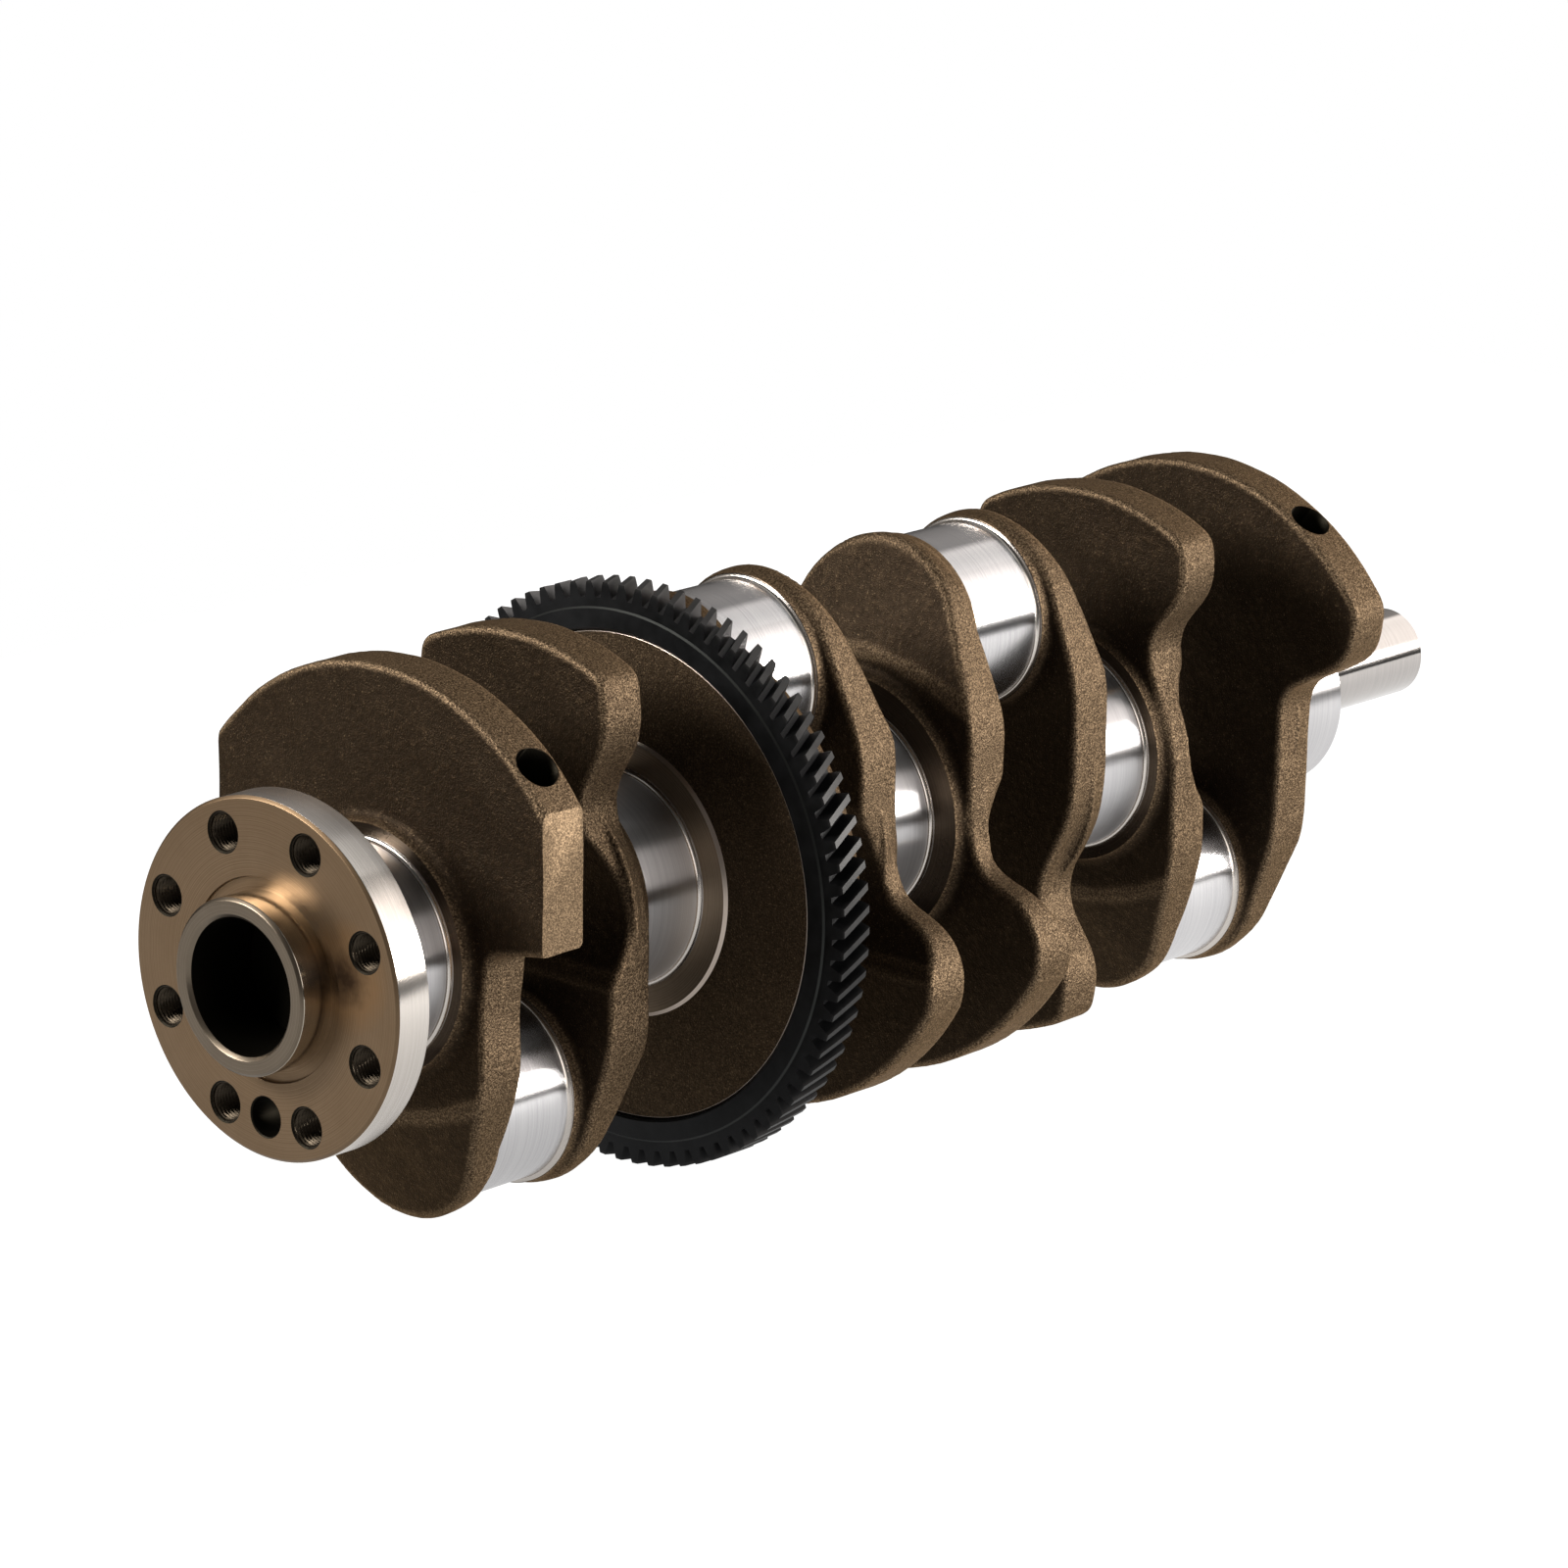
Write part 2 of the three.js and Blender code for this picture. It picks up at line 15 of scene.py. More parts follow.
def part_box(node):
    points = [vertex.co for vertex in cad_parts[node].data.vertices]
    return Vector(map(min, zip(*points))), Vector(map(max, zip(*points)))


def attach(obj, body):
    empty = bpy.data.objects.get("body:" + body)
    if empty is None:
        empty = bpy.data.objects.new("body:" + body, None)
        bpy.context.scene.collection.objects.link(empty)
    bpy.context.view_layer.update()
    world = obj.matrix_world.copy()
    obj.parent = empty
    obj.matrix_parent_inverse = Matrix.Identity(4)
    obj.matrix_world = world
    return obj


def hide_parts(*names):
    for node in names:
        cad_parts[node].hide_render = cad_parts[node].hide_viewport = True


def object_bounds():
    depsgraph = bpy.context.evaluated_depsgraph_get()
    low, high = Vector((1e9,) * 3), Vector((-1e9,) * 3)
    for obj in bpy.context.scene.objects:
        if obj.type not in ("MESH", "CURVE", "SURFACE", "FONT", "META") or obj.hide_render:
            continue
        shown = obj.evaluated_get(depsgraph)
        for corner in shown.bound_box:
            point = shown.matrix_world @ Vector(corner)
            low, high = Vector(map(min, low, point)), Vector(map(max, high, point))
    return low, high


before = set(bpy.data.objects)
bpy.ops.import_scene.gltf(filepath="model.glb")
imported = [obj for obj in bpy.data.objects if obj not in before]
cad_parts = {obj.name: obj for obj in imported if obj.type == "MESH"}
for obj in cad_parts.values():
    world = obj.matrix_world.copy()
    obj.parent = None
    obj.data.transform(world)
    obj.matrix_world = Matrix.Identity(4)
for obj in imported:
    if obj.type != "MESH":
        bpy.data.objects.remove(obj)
cad_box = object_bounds()

# ---------------------------------------------------------------- stations, from the CAD boxes


def span(node):
    """Where a CAD node starts and ends along the crank axis, in millimetres."""
    low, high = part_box(node)
    return round(low.x * 1000, 3), round(high.x * 1000, 3)


MM = 0.001  # a millimetre in metres
THROW = 45.6
MAIN_RADIUS = 28.0
PIN_RADIUS = 24.5
BOSS_HEIGHT = 3.0
BOSS_DRAFT = 1.4  # how much a main boss widens towards its web
MAIN_BOSS_RADIUS = 32.2
THRUST_BOSS_RADIUS = 36.5
PIN_BOSS_RADIUS = 25.9
PIN_BOSS_DRAFT = 0.4
PLATE = 14.0  # thickness of a web between its bosses
PIN_HEIGHT = {1: -THROW, 2: THROW, 3: THROW, 4: -THROW}  # by crankpin, counted from the nose
SMOOTH_ANGLE = 35.0  # corners sharper than this, in degrees, are shaded as edges

# ---------------------------------------------------------------- meshes


def make_piece(name, verts, faces, materials, indices=None, sharp_angle=SMOOTH_ANGLE):
    """A mesh object from vertices in millimetres, smooth but for its corners."""
    mesh = bpy.data.meshes.new(name)
    mesh.from_pydata((np.asarray(verts, float) * MM).tolist(), [], faces)
    for material in materials:
        mesh.materials.append(material)
    if indices is not None:
        mesh.polygons.foreach_set("material_index", indices)
    mesh.polygons.foreach_set("use_smooth", [True] * len(mesh.polygons))
    mesh.validate()
    mesh.set_sharp_from_angle(angle=math.radians(sharp_angle))
    piece = bpy.data.objects.new(name, mesh)
    bpy.context.scene.collection.objects.link(piece)
    return piece


def carve(piece, cutter, operation="DIFFERENCE", sharp_angle=SMOOTH_ANGLE):
    """Cuts a closed cutter out of a piece, or joins it on, and removes the cutter."""
    boolean = piece.modifiers.new("carve", "BOOLEAN")
    boolean.object = cutter
    boolean.operation = operation
    boolean.solver = "EXACT"
    graph = bpy.context.evaluated_depsgraph_get()
    mesh = bpy.data.meshes.new_from_object(piece.evaluated_get(graph))
    piece.modifiers.clear()
    piece.data = mesh
    bpy.data.objects.remove(cutter)
    mesh.set_sharp_from_angle(angle=math.radians(sharp_angle))


CORNER_STEPS = 5


def rounded(corners):
    """A profile whose corners (x, radius, rounding) are rounded by arcs."""
    profile = []
    count = len(corners)
    for i, (x, r, rounding) in enumerate(corners):
        here = np.array([x, r])
        if rounding <= 0:
            profile.append(here)
            continue
        before = np.array(corners[i - 1][:2]) - here
        after = np.array(corners[(i + 1) % count][:2]) - here
        before /= np.linalg.norm(before)
        after /= np.linalg.norm(after)
        half = math.acos(float(np.clip(before @ after, -1, 1))) / 2
        reach = rounding / math.tan(half)
        start, end = here + before * reach, here + after * reach
        middle = before + after
        centre = here + middle / np.linalg.norm(middle) * rounding / math.sin(half)
        a, b = start - centre, end - centre
        turn = math.acos(float(np.clip(a @ b / rounding**2, -1, 1)))
        for s in np.linspace(0, 1, CORNER_STEPS):
            w0, w1 = math.sin((1 - s) * turn), math.sin(s * turn)
            profile.append(centre + (a * w0 + b * w1) / math.sin(turn))
    return profile


ON_AXIS = 1e-6


def lathe(profile, segments, height=0.0):
    """Vertices and faces of a profile of (x, radius) turned about the line z = height.

    The profile runs with rising x on its outside. One that starts off the axis is closed up.
    """
    angles = np.arange(segments) * 2 * math.pi / segments
    verts, rings = [], []
    for x, r in profile:
        if r < ON_AXIS:
            rings.append([len(verts)] * segments)
            verts.append((x, 0, height))
            continue
        rings.append(list(range(len(verts), len(verts) + segments)))
        verts.extend((x, r * math.sin(a), height + r * math.cos(a)) for a in angles)
    pairs = list(zip(rings, rings[1:]))
    if profile[0][1] > ON_AXIS:
        pairs.append((rings[-1], rings[0]))
    faces = []
    for low, high in pairs:
        for i in range(segments):
            j = (i + 1) % segments
            corners = [low[j], low[i], high[i], high[j]]
            unique = list(dict.fromkeys(corners))
            if len(unique) > 2:
                faces.append(unique)
    return verts, faces


def turned(name, profile, segments, materials, kind=None, height=0.0):
    """A turned piece. A face's material index is kind(x, radius) of its middle, or 0."""
    verts, faces = lathe(profile, segments, height)
    indices = [0] * len(faces)
    if kind is not None:
        for number, face in enumerate(faces):
            x = np.mean([verts[i][0] for i in face])
            radius = np.mean([math.hypot(verts[i][1], verts[i][2] - height) for i in face])
            indices[number] = kind(x, radius)
    return make_piece(name, verts, faces, materials, indices)


def aimed(piece, place, direction):
    """Turns a piece from the X axis to a direction and moves its origin to a place."""
    turn = Vector((1, 0, 0)).rotation_difference(Vector(direction)).to_matrix().to_4x4()
    piece.data.transform(Matrix.Translation(Vector(place) * MM) @ turn)
    return piece


DRILL_SEGMENTS = 40


def drill(place, direction, radius, length, mouth, materials, index=1):
    """A drill for a round hole whose mouth is at a place and faces a direction.

    It widens by mouth just below the surface, and its cut takes the material of that index.
    """
    back = length / 2
    profile = rounded(
        [
            (-length, 0, 0),
            (-length, radius, 0),
            (-mouth, radius, 0),
            (back, radius + mouth + back, 0),
            (back, 0, 0),
        ]
    )
    cutter = turned("drill", profile, DRILL_SEGMENTS, materials, lambda x, r: index)
    return aimed(cutter, place, direction)


# ---------------------------------------------------------------- forged shapes as distance fields


def round_max(a, b, radius):
    """The intersection of two distance fields, with its edge rounded."""
    grown = np.hypot(np.maximum(a + radius, 0), np.maximum(b + radius, 0))
    return np.minimum(np.maximum(a, b), -radius) + grown


def round_min(a, b, radius):
    """The union of two distance fields, with a fillet between them."""
    return -round_max(-a, -b, radius)


def outline_distance(outline, y, w):
    """Signed distance from points to a closed outline, negative inside."""
    starts = np.array(outline)
    ends = np.roll(starts, -1, axis=0)
    shape = np.shape(y)
    points = np.stack([np.ravel(y), np.ravel(w)], axis=1)
    nearest = np.full(len(points), 1e9)
    inside = np.zeros(len(points), bool)
    for (y0, w0), (y1, w1) in zip(starts, ends):
        ey, ew = y1 - y0, w1 - w0
        py, pw = points[:, 0] - y0, points[:, 1] - w0
        t = np.clip((py * ey + pw * ew) / (ey * ey + ew * ew), 0, 1)
        nearest = np.minimum(nearest, (py - t * ey) ** 2 + (pw - t * ew) ** 2)
        crosses = (w0 > points[:, 1]) != (w1 > points[:, 1])
        if ew != 0:
            inside ^= crosses & (points[:, 0] < y0 + ey * pw / ew)
    distance = np.sqrt(nearest)
    return np.where(inside, -distance, distance).reshape(shape)


CUBE_EDGES = [
    (a, tuple(v + (i == axis) for i, v in enumerate(a)))
    for axis in range(3)
    for a in np.ndindex(2, 2, 2)
    if a[axis] == 0
]


def surface_net(field, low, step):
    """Vertices and quads of the zero surface of a field sampled on a grid."""
    shape = np.array(field.shape) - 1

    def corner(offset):
        return field[tuple(slice(o, o + n) for o, n in zip(offset, shape))]

    total = np.zeros((*shape, 3))
    count = np.zeros(shape)
    for a, b in CUBE_EDGES:
        fa, fb = corner(a), corner(b)
        crossing = (fa < 0) != (fb < 0)
        t = np.where(crossing, fa / np.where(crossing, fa - fb, 1), 0)
        for axis in range(3):
            total[..., axis] += crossing * (a[axis] + t * (b[axis] - a[axis]))
        count += crossing
    active = count > 0
    number = np.full(shape, -1)
    number[active] = np.arange(active.sum())
    cells = np.argwhere(active)
    verts = (cells + total[active] / count[active][:, None]) * step + low
    quads = []
    for axis in range(3):
        u, v = (axis + 1) % 3, (axis + 2) % 3
        lower = [slice(1, -1)] * 3
        upper = [slice(1, -1)] * 3
        lower[axis] = slice(0, -1)
        upper[axis] = slice(1, None)
        fa, fb = field[tuple(lower)], field[tuple(upper)]
        for inward in (True, False):
            where = (fa < 0) & (fb >= 0) if inward else (fa >= 0) & (fb < 0)
            at = np.argwhere(where) + 1
            at[:, axis] -= 1
            ring = []
            for du, dv in ((1, 1), (0, 1), (0, 0), (1, 0)):
                cell = at.copy()
                cell[:, u] -= du
                cell[:, v] -= dv
                ring.append(number[tuple(cell.T)])
            quad = np.stack(ring, axis=1)
            quads.append(quad if inward else quad[:, ::-1])
    return verts, np.concatenate(quads)


def gradient(distance, verts):
    """The direction in which a distance field grows, at each vertex."""
    step = 0.05
    parts = []
    for axis in range(3):
        shift = np.zeros(3)
        shift[axis] = step
        parts.append(distance(*(verts + shift).T) - distance(*(verts - shift).T))
    return np.stack(parts, axis=1) / (2 * step)


def bulge(distance, verts):
    """How convex the surface is at each vertex: about 1 on a rounded edge, 0 on a flat."""
    step = 0.6
    here = distance(*verts.T)
    total = -6 * here
    for axis in range(3):
        for sign in (-1, 1):
            shift = np.zeros(3)
            shift[axis] = sign * step
            total += distance(*(verts + shift).T)
    return total / step**2


# ---------------------------------------------------------------- web outlines


COUNTERWEIGHT_RADIUS = 72.0
LOBE_HALF_WIDTH = 28.8  # a web's end round its crankpin is a little flattened
LOBE_REACH = 26.4
LOBE_START = -22  # degrees, where a web's side meets that end
HUB_FOOT = -30
NARROW_SHOULDER = 6.0
NARROW_LEAN = 1.8
BEND_STEPS = 6
ARC_STEPS = 16
LOBE_STEPS = 12


def bend(before, corner, after, radius):
    """The points of a corner rounded by a quadratic curve."""
    before, corner, after = map(np.array, (before, corner, after))
    a = corner + (before - corner) / np.linalg.norm(before - corner) * radius
    b = corner + (after - corner) / np.linalg.norm(after - corner) * radius
    t = np.linspace(0, 1, BEND_STEPS)[:, None]
    return ((1 - t) ** 2 * a + 2 * t * (1 - t) * corner + t**2 * b).tolist()


def arc(radius, centre, start, end, steps):
    """Points on an arc about (0, centre), in the order of its angles in degrees."""
    angles = np.radians(np.linspace(start, end, steps))
    return [[radius * math.cos(a), centre + radius * math.sin(a)] for a in angles]


def web_outline(shoulder, corners):
    """A web's outline with its counterweight up: arc, corners (y, w, rounding), lobe."""
    top = math.degrees(math.acos(shoulder / COUNTERWEIGHT_RADIUS))
    points = arc(COUNTERWEIGHT_RADIUS, 0, 90, top, ARC_STEPS)
    lobe = arc(LOBE_REACH, -THROW, LOBE_START, -90, LOBE_STEPS)
    lobe = [[LOBE_HALF_WIDTH / LOBE_REACH * y, w] for y, w in lobe]
    stops = [points[-1]] + [c[:2] for c in corners] + [lobe[0]]
    for i, (_, _, radius) in enumerate(corners):
        points += bend(stops[i], stops[i + 1], stops[i + 2], radius)
    points += lobe
    return points + [[-y, w] for y, w in points[-2:0:-1]]


def narrow(width, waist):
    """A narrow counterweight's outline: its sides lean in a little towards the arc."""
    arc_end = width - NARROW_SHOULDER
    height = math.sqrt(COUNTERWEIGHT_RADIUS**2 - arc_end**2)
    drop = (NARROW_SHOULDER - NARROW_LEAN) * arc_end / height
    corners = [
        (width - NARROW_LEAN, height - drop, 4),
        (width, 49, 7),
        (waist, 34.5, 5),
        (waist, 26, 5),
        (36, 4, 9),
        (36, HUB_FOOT, 8),
    ]
    return web_outline(arc_end, corners)


SHOULDERED = web_outline(
    62.6,
    [(64.6, 27.5, 6), (58.5, 15.8, 6), (43, 10, 5), (39, 0, 5), (39, HUB_FOOT, 8)],
)
WIDE = web_outline(
    56, [(61, 39.1, 4), (59, 24.3, 8), (36.3, 12.4, 6), (35.5, HUB_FOOT, 8)]
)
FLAT_SIDED = web_outline(
    59, [(59, 9.5, 3), (38, 5.5, 4), (36, -12, 6), (36.8, HUB_FOOT, 8)]
)

# number: outline, scooped, wide main boss, rim hole's angle, half width of machined flats
WEBS = {
    1: (WIDE, False, False, 32.4, None),
    2: (narrow(38, 26.4), True, False, None, None),
    3: (narrow(35.5, 25), False, False, None, None),
    4: (SHOULDERED, True, True, None, None),
    5: (SHOULDERED, True, True, None, None),
    7: (narrow(33.3, 24.6), True, False, None, None),
    8: (FLAT_SIDED, False, False, 41.4, 56.3),
}

# ---------------------------------------------------------------- materials


def new_material(name):
    """An empty material, its node tree and its shader."""
    material = bpy.data.materials.new(name)
    material.use_nodes = True
    tree = material.node_tree
    return material, tree, tree.nodes["Principled BSDF"]


def node(tree, kind, inputs=None, **settings):
    """A node with its settings, and its inputs by name or number as values or links."""
    made = tree.nodes.new(kind)
    for key, value in settings.items():
        setattr(made, key, value)
    for key, value in (inputs or {}).items():
        if isinstance(value, bpy.types.NodeSocket):
            tree.links.new(value, made.inputs[key])
        else:
            made.inputs[key].default_value = value
    return made


def math_node(tree, operation, a, b=0.0, clamp=False):
    made = node(tree, "ShaderNodeMath", {0: a, 1: b}, operation=operation)
    made.use_clamp = clamp
    return made.outputs[0]


def vector_node(tree, operation, a, b=(0, 0, 0)):
    """A number worked out from vectors."""
    made = node(tree, "ShaderNodeVectorMath", {0: a, 1: b}, operation=operation)
    return made.outputs["Value"]


def remap(tree, value, before=(0.0, 1.0), after=(0.0, 1.0)):
    """Carries a value from one range to another and holds it there."""
    inputs = {0: value, 1: before[0], 2: before[1], 3: after[0], 4: after[1]}
    return node(tree, "ShaderNodeMapRange", inputs).outputs[0]


def noise(tree, vector, scale, detail=3.0, roughness=0.55):
    made = node(
        tree,
        "ShaderNodeTexNoise",
        {"Vector": vector, "Scale": scale, "Detail": detail, "Roughness": roughness},
    )
    return made.outputs["Fac"]


def grey(value):
    return (value, value, value)


def ramp(tree, value, stops):
    """A colour ramp from (position, colour) stops."""
    made = node(tree, "ShaderNodeValToRGB", {0: value})
    elements = made.color_ramp.elements
    while len(elements) < len(stops):
        elements.new(0.5)
    for element, (position, colour) in zip(elements, stops):
        element.position = position
        element.color = (*colour, 1)
    return made.outputs[0]


def mix(tree, factor, a, b):
    """Mixes two colours, each a value or a link."""
    made = node(tree, "ShaderNodeMix", {0: factor}, data_type="RGBA")
    for socket, colour in ((6, a), (7, b)):
        if isinstance(colour, bpy.types.NodeSocket):
            tree.links.new(colour, made.inputs[socket])
        else:
            made.inputs[socket].default_value = (*colour, 1)
    return made.outputs[2]


def place_on_object(tree, scale=(1, 1, 1)):
    """The place on the object, in metres, scaled along each axis."""
    place = node(tree, "ShaderNodeTexCoord").outputs["Object"]
    return node(tree, "ShaderNodeMapping", {"Vector": place, "Scale": scale}).outputs[0]


def axis_radius(tree):
    """The distance from the crank axis, in metres."""
    return vector_node(tree, "LENGTH", place_on_object(tree, (0, 1, 1)))


def add_bump(tree, shader, height, strength, distance):
    made = node(
        tree,
        "ShaderNodeBump",
        {"Height": height, "Strength": strength, "Distance": distance},
    )
    tree.links.new(made.outputs[0], shader.inputs["Normal"])


def forged_material(name, least_wear_and_painted_light, dull_bronze, relief):
    """Shot-blasted forging skin: dark bronze-brown, finely grained, brighter bronze where it is
    worn and where light is painted on its sides and edges.
    """
    material, tree, shader = new_material(name)
    place = place_on_object(tree)
    grain = noise(tree, place, 2100, 2.0, 0.65)
    speckle = noise(tree, place, 520, 3.0, 0.6)
    cloud = noise(tree, place, 45, 4.0, 0.6)
    # this attribute holds real wear and painted light: worn edges with painted highlights, and
    # sides lightened as if lit; its floor lifts a whole material, the milled flats to their own
    # tone, the disc as painted light
    wear_and_painted_light = node(tree, "ShaderNodeAttribute", attribute_name="wear_and_painted_light").outputs["Fac"]
    wear_and_painted_light = math_node(tree, "MAXIMUM", wear_and_painted_light, least_wear_and_painted_light)
    broken = remap(tree, grain, (0.35, 0.65), (0.35, 1.0))
    worn_and_painted_light = math_node(tree, "MULTIPLY", wear_and_painted_light, broken, clamp=True)
    pits, middle, peaks = (0.006, 0.004, 0.0025), (0.016, 0.010, 0.006), (0.060, 0.040, 0.022)
    skin = ramp(tree, speckle, [(0.30, pits), (0.55, middle), (0.78, peaks)])
    skin = mix(tree, cloud, skin, (0.012, 0.008, 0.005))
    fleck = ramp(tree, grain, [(0.64, grey(0.0)), (0.71, grey(0.7))])
    skin = mix(tree, fleck, skin, (0.17, 0.122, 0.074))
    bronze = ramp(tree, grain, [(0.38, dull_bronze), (0.62, (0.235, 0.165, 0.100))])
    tree.links.new(mix(tree, worn_and_painted_light, skin, bronze), shader.inputs["Base Color"])
    shader.inputs["Metallic"].default_value = 0.75
    shader.inputs["Specular Tint"].default_value = (1.0, 0.72, 0.47, 1)
    tree.links.new(remap(tree, speckle, after=(0.62, 0.42)), shader.inputs["Roughness"])
    height = math_node(tree, "ADD", grain, math_node(tree, "MULTIPLY", speckle, 1.2))
    add_bump(tree, shader, height, relief, 0.00024)
    return material


TOOL_MARK_DEPTH = 0.00004
GRINDING_BUMP = 0.015
TURNING_BUMP = 0.25


def ground_material(name, dark, light, roughness, spread):
    """Ground steel, with faint lines round the crank axis that spread the light sideways."""
    material, tree, shader = new_material(name)
    lines = noise(tree, place_on_object(tree, (1, 0.004, 0.004)), 5200, 2.0)
    haze = noise(tree, place_on_object(tree), 60, 2.0)
    tree.links.new(ramp(tree, lines, [(0.3, dark), (0.7, light)]), shader.inputs["Base Color"])
    shader.inputs["Metallic"].default_value = 1.0
    shader.inputs["Anisotropic"].default_value = spread
    shader.inputs["Anisotropic Rotation"].default_value = 0.25
    rough = remap(tree, haze, after=(roughness * 0.9, roughness * 1.1))
    tree.links.new(rough, shader.inputs["Roughness"])
    along = node(tree, "ShaderNodeTangent", direction_type="RADIAL", axis="X").outputs[0]
    tree.links.new(along, shader.inputs["Tangent"])
    add_bump(tree, shader, lines, GRINDING_BUMP, TOOL_MARK_DEPTH)
    return material


STAIN_CENTRE = (-0.2038, -0.028, 0.007)  # in metres, on the flange's face beside the collar
STAIN_REACH = 0.015


def heat_stain(tree, colour, cloud):
    """Lays a patchy stain over a colour: straw brown at its fringe and burnt in its middle."""
    offset = vector_node(tree, "DISTANCE", place_on_object(tree), STAIN_CENTRE)
    stain = remap(tree, offset, (0.0, STAIN_REACH), (1.0, 0.0))
    patchy = math_node(tree, "MULTIPLY", stain, cloud)
    fringe = ramp(tree, patchy, [(0.0, grey(0.0)), (0.16, grey(0.45)), (0.40, grey(0.4))])
    colour = mix(tree, fringe, colour, (0.25, 0.135, 0.055))
    burnt = ramp(tree, patchy, [(0.18, grey(0.0)), (0.42, grey(0.92))])
    return mix(tree, burnt, colour, (0.040, 0.022, 0.012))


def turned_material(name, dark, light, roughness, stained=False):
    """Turned steel, with fine rings about the crank axis."""
    material, tree, shader = new_material(name)
    along = node(tree, "ShaderNodeSeparateXYZ", {0: place_on_object(tree)}).outputs[0]
    track = math_node(tree, "ADD", axis_radius(tree), along)
    vector = node(tree, "ShaderNodeCombineXYZ", {0: track}).outputs[0]
    rings = noise(tree, vector, 3600, 2.0)
    cloud = noise(tree, place_on_object(tree), 70, 4.0, 0.65)
    colour = ramp(tree, rings, [(0.3, dark), (0.7, light)])
    dull = ramp(tree, cloud, [(0.4, grey(0.0)), (0.75, grey(0.4))])
    colour = mix(tree, dull, colour, dark)
    if stained:
        colour = heat_stain(tree, colour, cloud)
    tree.links.new(colour, shader.inputs["Base Color"])
    shader.inputs["Metallic"].default_value = 1.0
    rough = remap(tree, cloud, after=(roughness * 0.85, roughness * 1.2))
    tree.links.new(rough, shader.inputs["Roughness"])
    add_bump(tree, shader, rings, TURNING_BUMP, TOOL_MARK_DEPTH)
    return material


def gear_material():
    """Blackened steel, semi-gloss, lighter in patches on the tips of the teeth."""
    material, tree, shader = new_material("blackened_gear_steel")
    place = place_on_object(tree)
    smear = noise(tree, place, 180, 4.0, 0.6)
    # the tips of the teeth are lighter in patches
    tips = remap(tree, axis_radius(tree), (0.0755, 0.0767))
    lighter_tips = math_node(tree, "MULTIPLY", tips, smear, clamp=True)
    black = ramp(tree, smear, [(0.35, (0.002, 0.0022, 0.0025)), (0.75, (0.008, 0.0083, 0.009))])
    colour = mix(tree, lighter_tips, black, (0.035, 0.034, 0.033))
    tree.links.new(colour, shader.inputs["Base Color"])
    shader.inputs["Metallic"].default_value = 0.6
    shader.inputs["Specular IOR Level"].default_value = 0.3
    tree.links.new(remap(tree, smear, after=(0.36, 0.52)), shader.inputs["Roughness"])
    add_bump(tree, shader, noise(tree, place, 2200, 2.0), 0.12, 0.00005)
    return material


BRONZE_SKIN = (0.050, 0.032, 0.018)
FORGED = forged_material("forged_steel", 0.0, BRONZE_SKIN, 1.0)
MILLED = forged_material("milled_forging", 0.78, (0.150, 0.103, 0.062), 0.35)
# the gear disc's forging, a lighter copy of the web skin: painted light
PAINTED_LIGHT_DISC_SKIN = forged_material("forged_disc_painted_light", 0.2, BRONZE_SKIN, 0.8)

JOURNAL_STEEL = (0.54, 0.53, 0.54), (0.66, 0.65, 0.65)
GROUND = ground_material("ground_steel", *JOURNAL_STEEL, 0.29, 1.0)
POLISHED = ground_material("pin_steel", *JOURNAL_STEEL, 0.2, 0.9)
NOSE = ground_material("nose_steel", (0.38, 0.36, 0.345), (0.46, 0.435, 0.415), 0.14, 0.8)
RIM = ground_material("rim_steel", (0.58, 0.535, 0.49), (0.71, 0.66, 0.61), 0.22, 0.9)
COLLAR = ground_material("collar_steel", (0.43, 0.38, 0.31), (0.55, 0.49, 0.41), 0.15, 0.8)

FILLET_STEEL = turned_material("fillet_steel", (0.50, 0.46, 0.42), (0.66, 0.62, 0.58), 0.22)
FACED = turned_material(
    "faced_steel", (0.125, 0.082, 0.046), (0.235, 0.162, 0.100), 0.42, stained=True
)
TURNED = turned_material("turned_steel", (0.12, 0.095, 0.07), (0.20, 0.165, 0.125), 0.32)
BOSS_FACE = turned_material("boss_face_steel", (0.06, 0.044, 0.031), (0.15, 0.113, 0.08), 0.27)
RING = turned_material("disc_boss_steel", (0.19, 0.14, 0.095), (0.38, 0.30, 0.215), 0.35)
# lighter steel for the disc's chamfer rings: painted highlight
EDGE_HIGHLIGHT = turned_material("edge_painted_highlight", (0.34, 0.28, 0.23), (0.58, 0.50, 0.44), 0.3)
# the threads' steel, darkened as painted shade inside the holes
SHADED_THREAD_STEEL = turned_material("thread_steel_painted_shade", (0.024, 0.019, 0.013), (0.085, 0.068, 0.050), 0.4)
# near black for the insides of holes and bores: painted shade
HOLE_SHADE = turned_material("bore_painted_shade", (0.008, 0.007, 0.005), (0.022, 0.019, 0.014), 0.5)
GEAR = gear_material()
LIP = turned_material("gear_lip_steel", (0.018, 0.019, 0.018), (0.045, 0.047, 0.045), 0.4)

# ---------------------------------------------------------------- forged webs


def finish_piece(piece, slot, *replaced):
    """Hands a finished piece to the frame."""
    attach(piece, "root")
    if replaced:
        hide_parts(*replaced)


def slice_flat(piece, point, normal, material_index):
    """Machines a piece flat: cuts off what lies beyond a plane and closes the cut."""
    shape = bmesh.new()
    shape.from_mesh(piece.data)
    every = shape.verts[:] + shape.edges[:] + shape.faces[:]
    cut = bmesh.ops.bisect_plane(
        shape, geom=every, plane_co=Vector(point) * MM, plane_no=normal, clear_outer=True
    )
    rim = [e for e in cut["geom_cut"] if isinstance(e, bmesh.types.BMEdge)]
    caps = bmesh.ops.contextual_create(shape, geom=rim)["faces"]
    for face in caps:
        face.material_index = material_index
        face.smooth = False
    for edge in rim:
        edge.smooth = False
    stray = [e for e in shape.edges if not e.link_faces]
    bmesh.ops.delete(shape, geom=stray, context="EDGES")
    shape.normal_update()
    for face in caps:
        if face.normal.dot(Vector(normal)) < 0:
            face.normal_flip()
    shape.to_mesh(piece.data)
    shape.free()


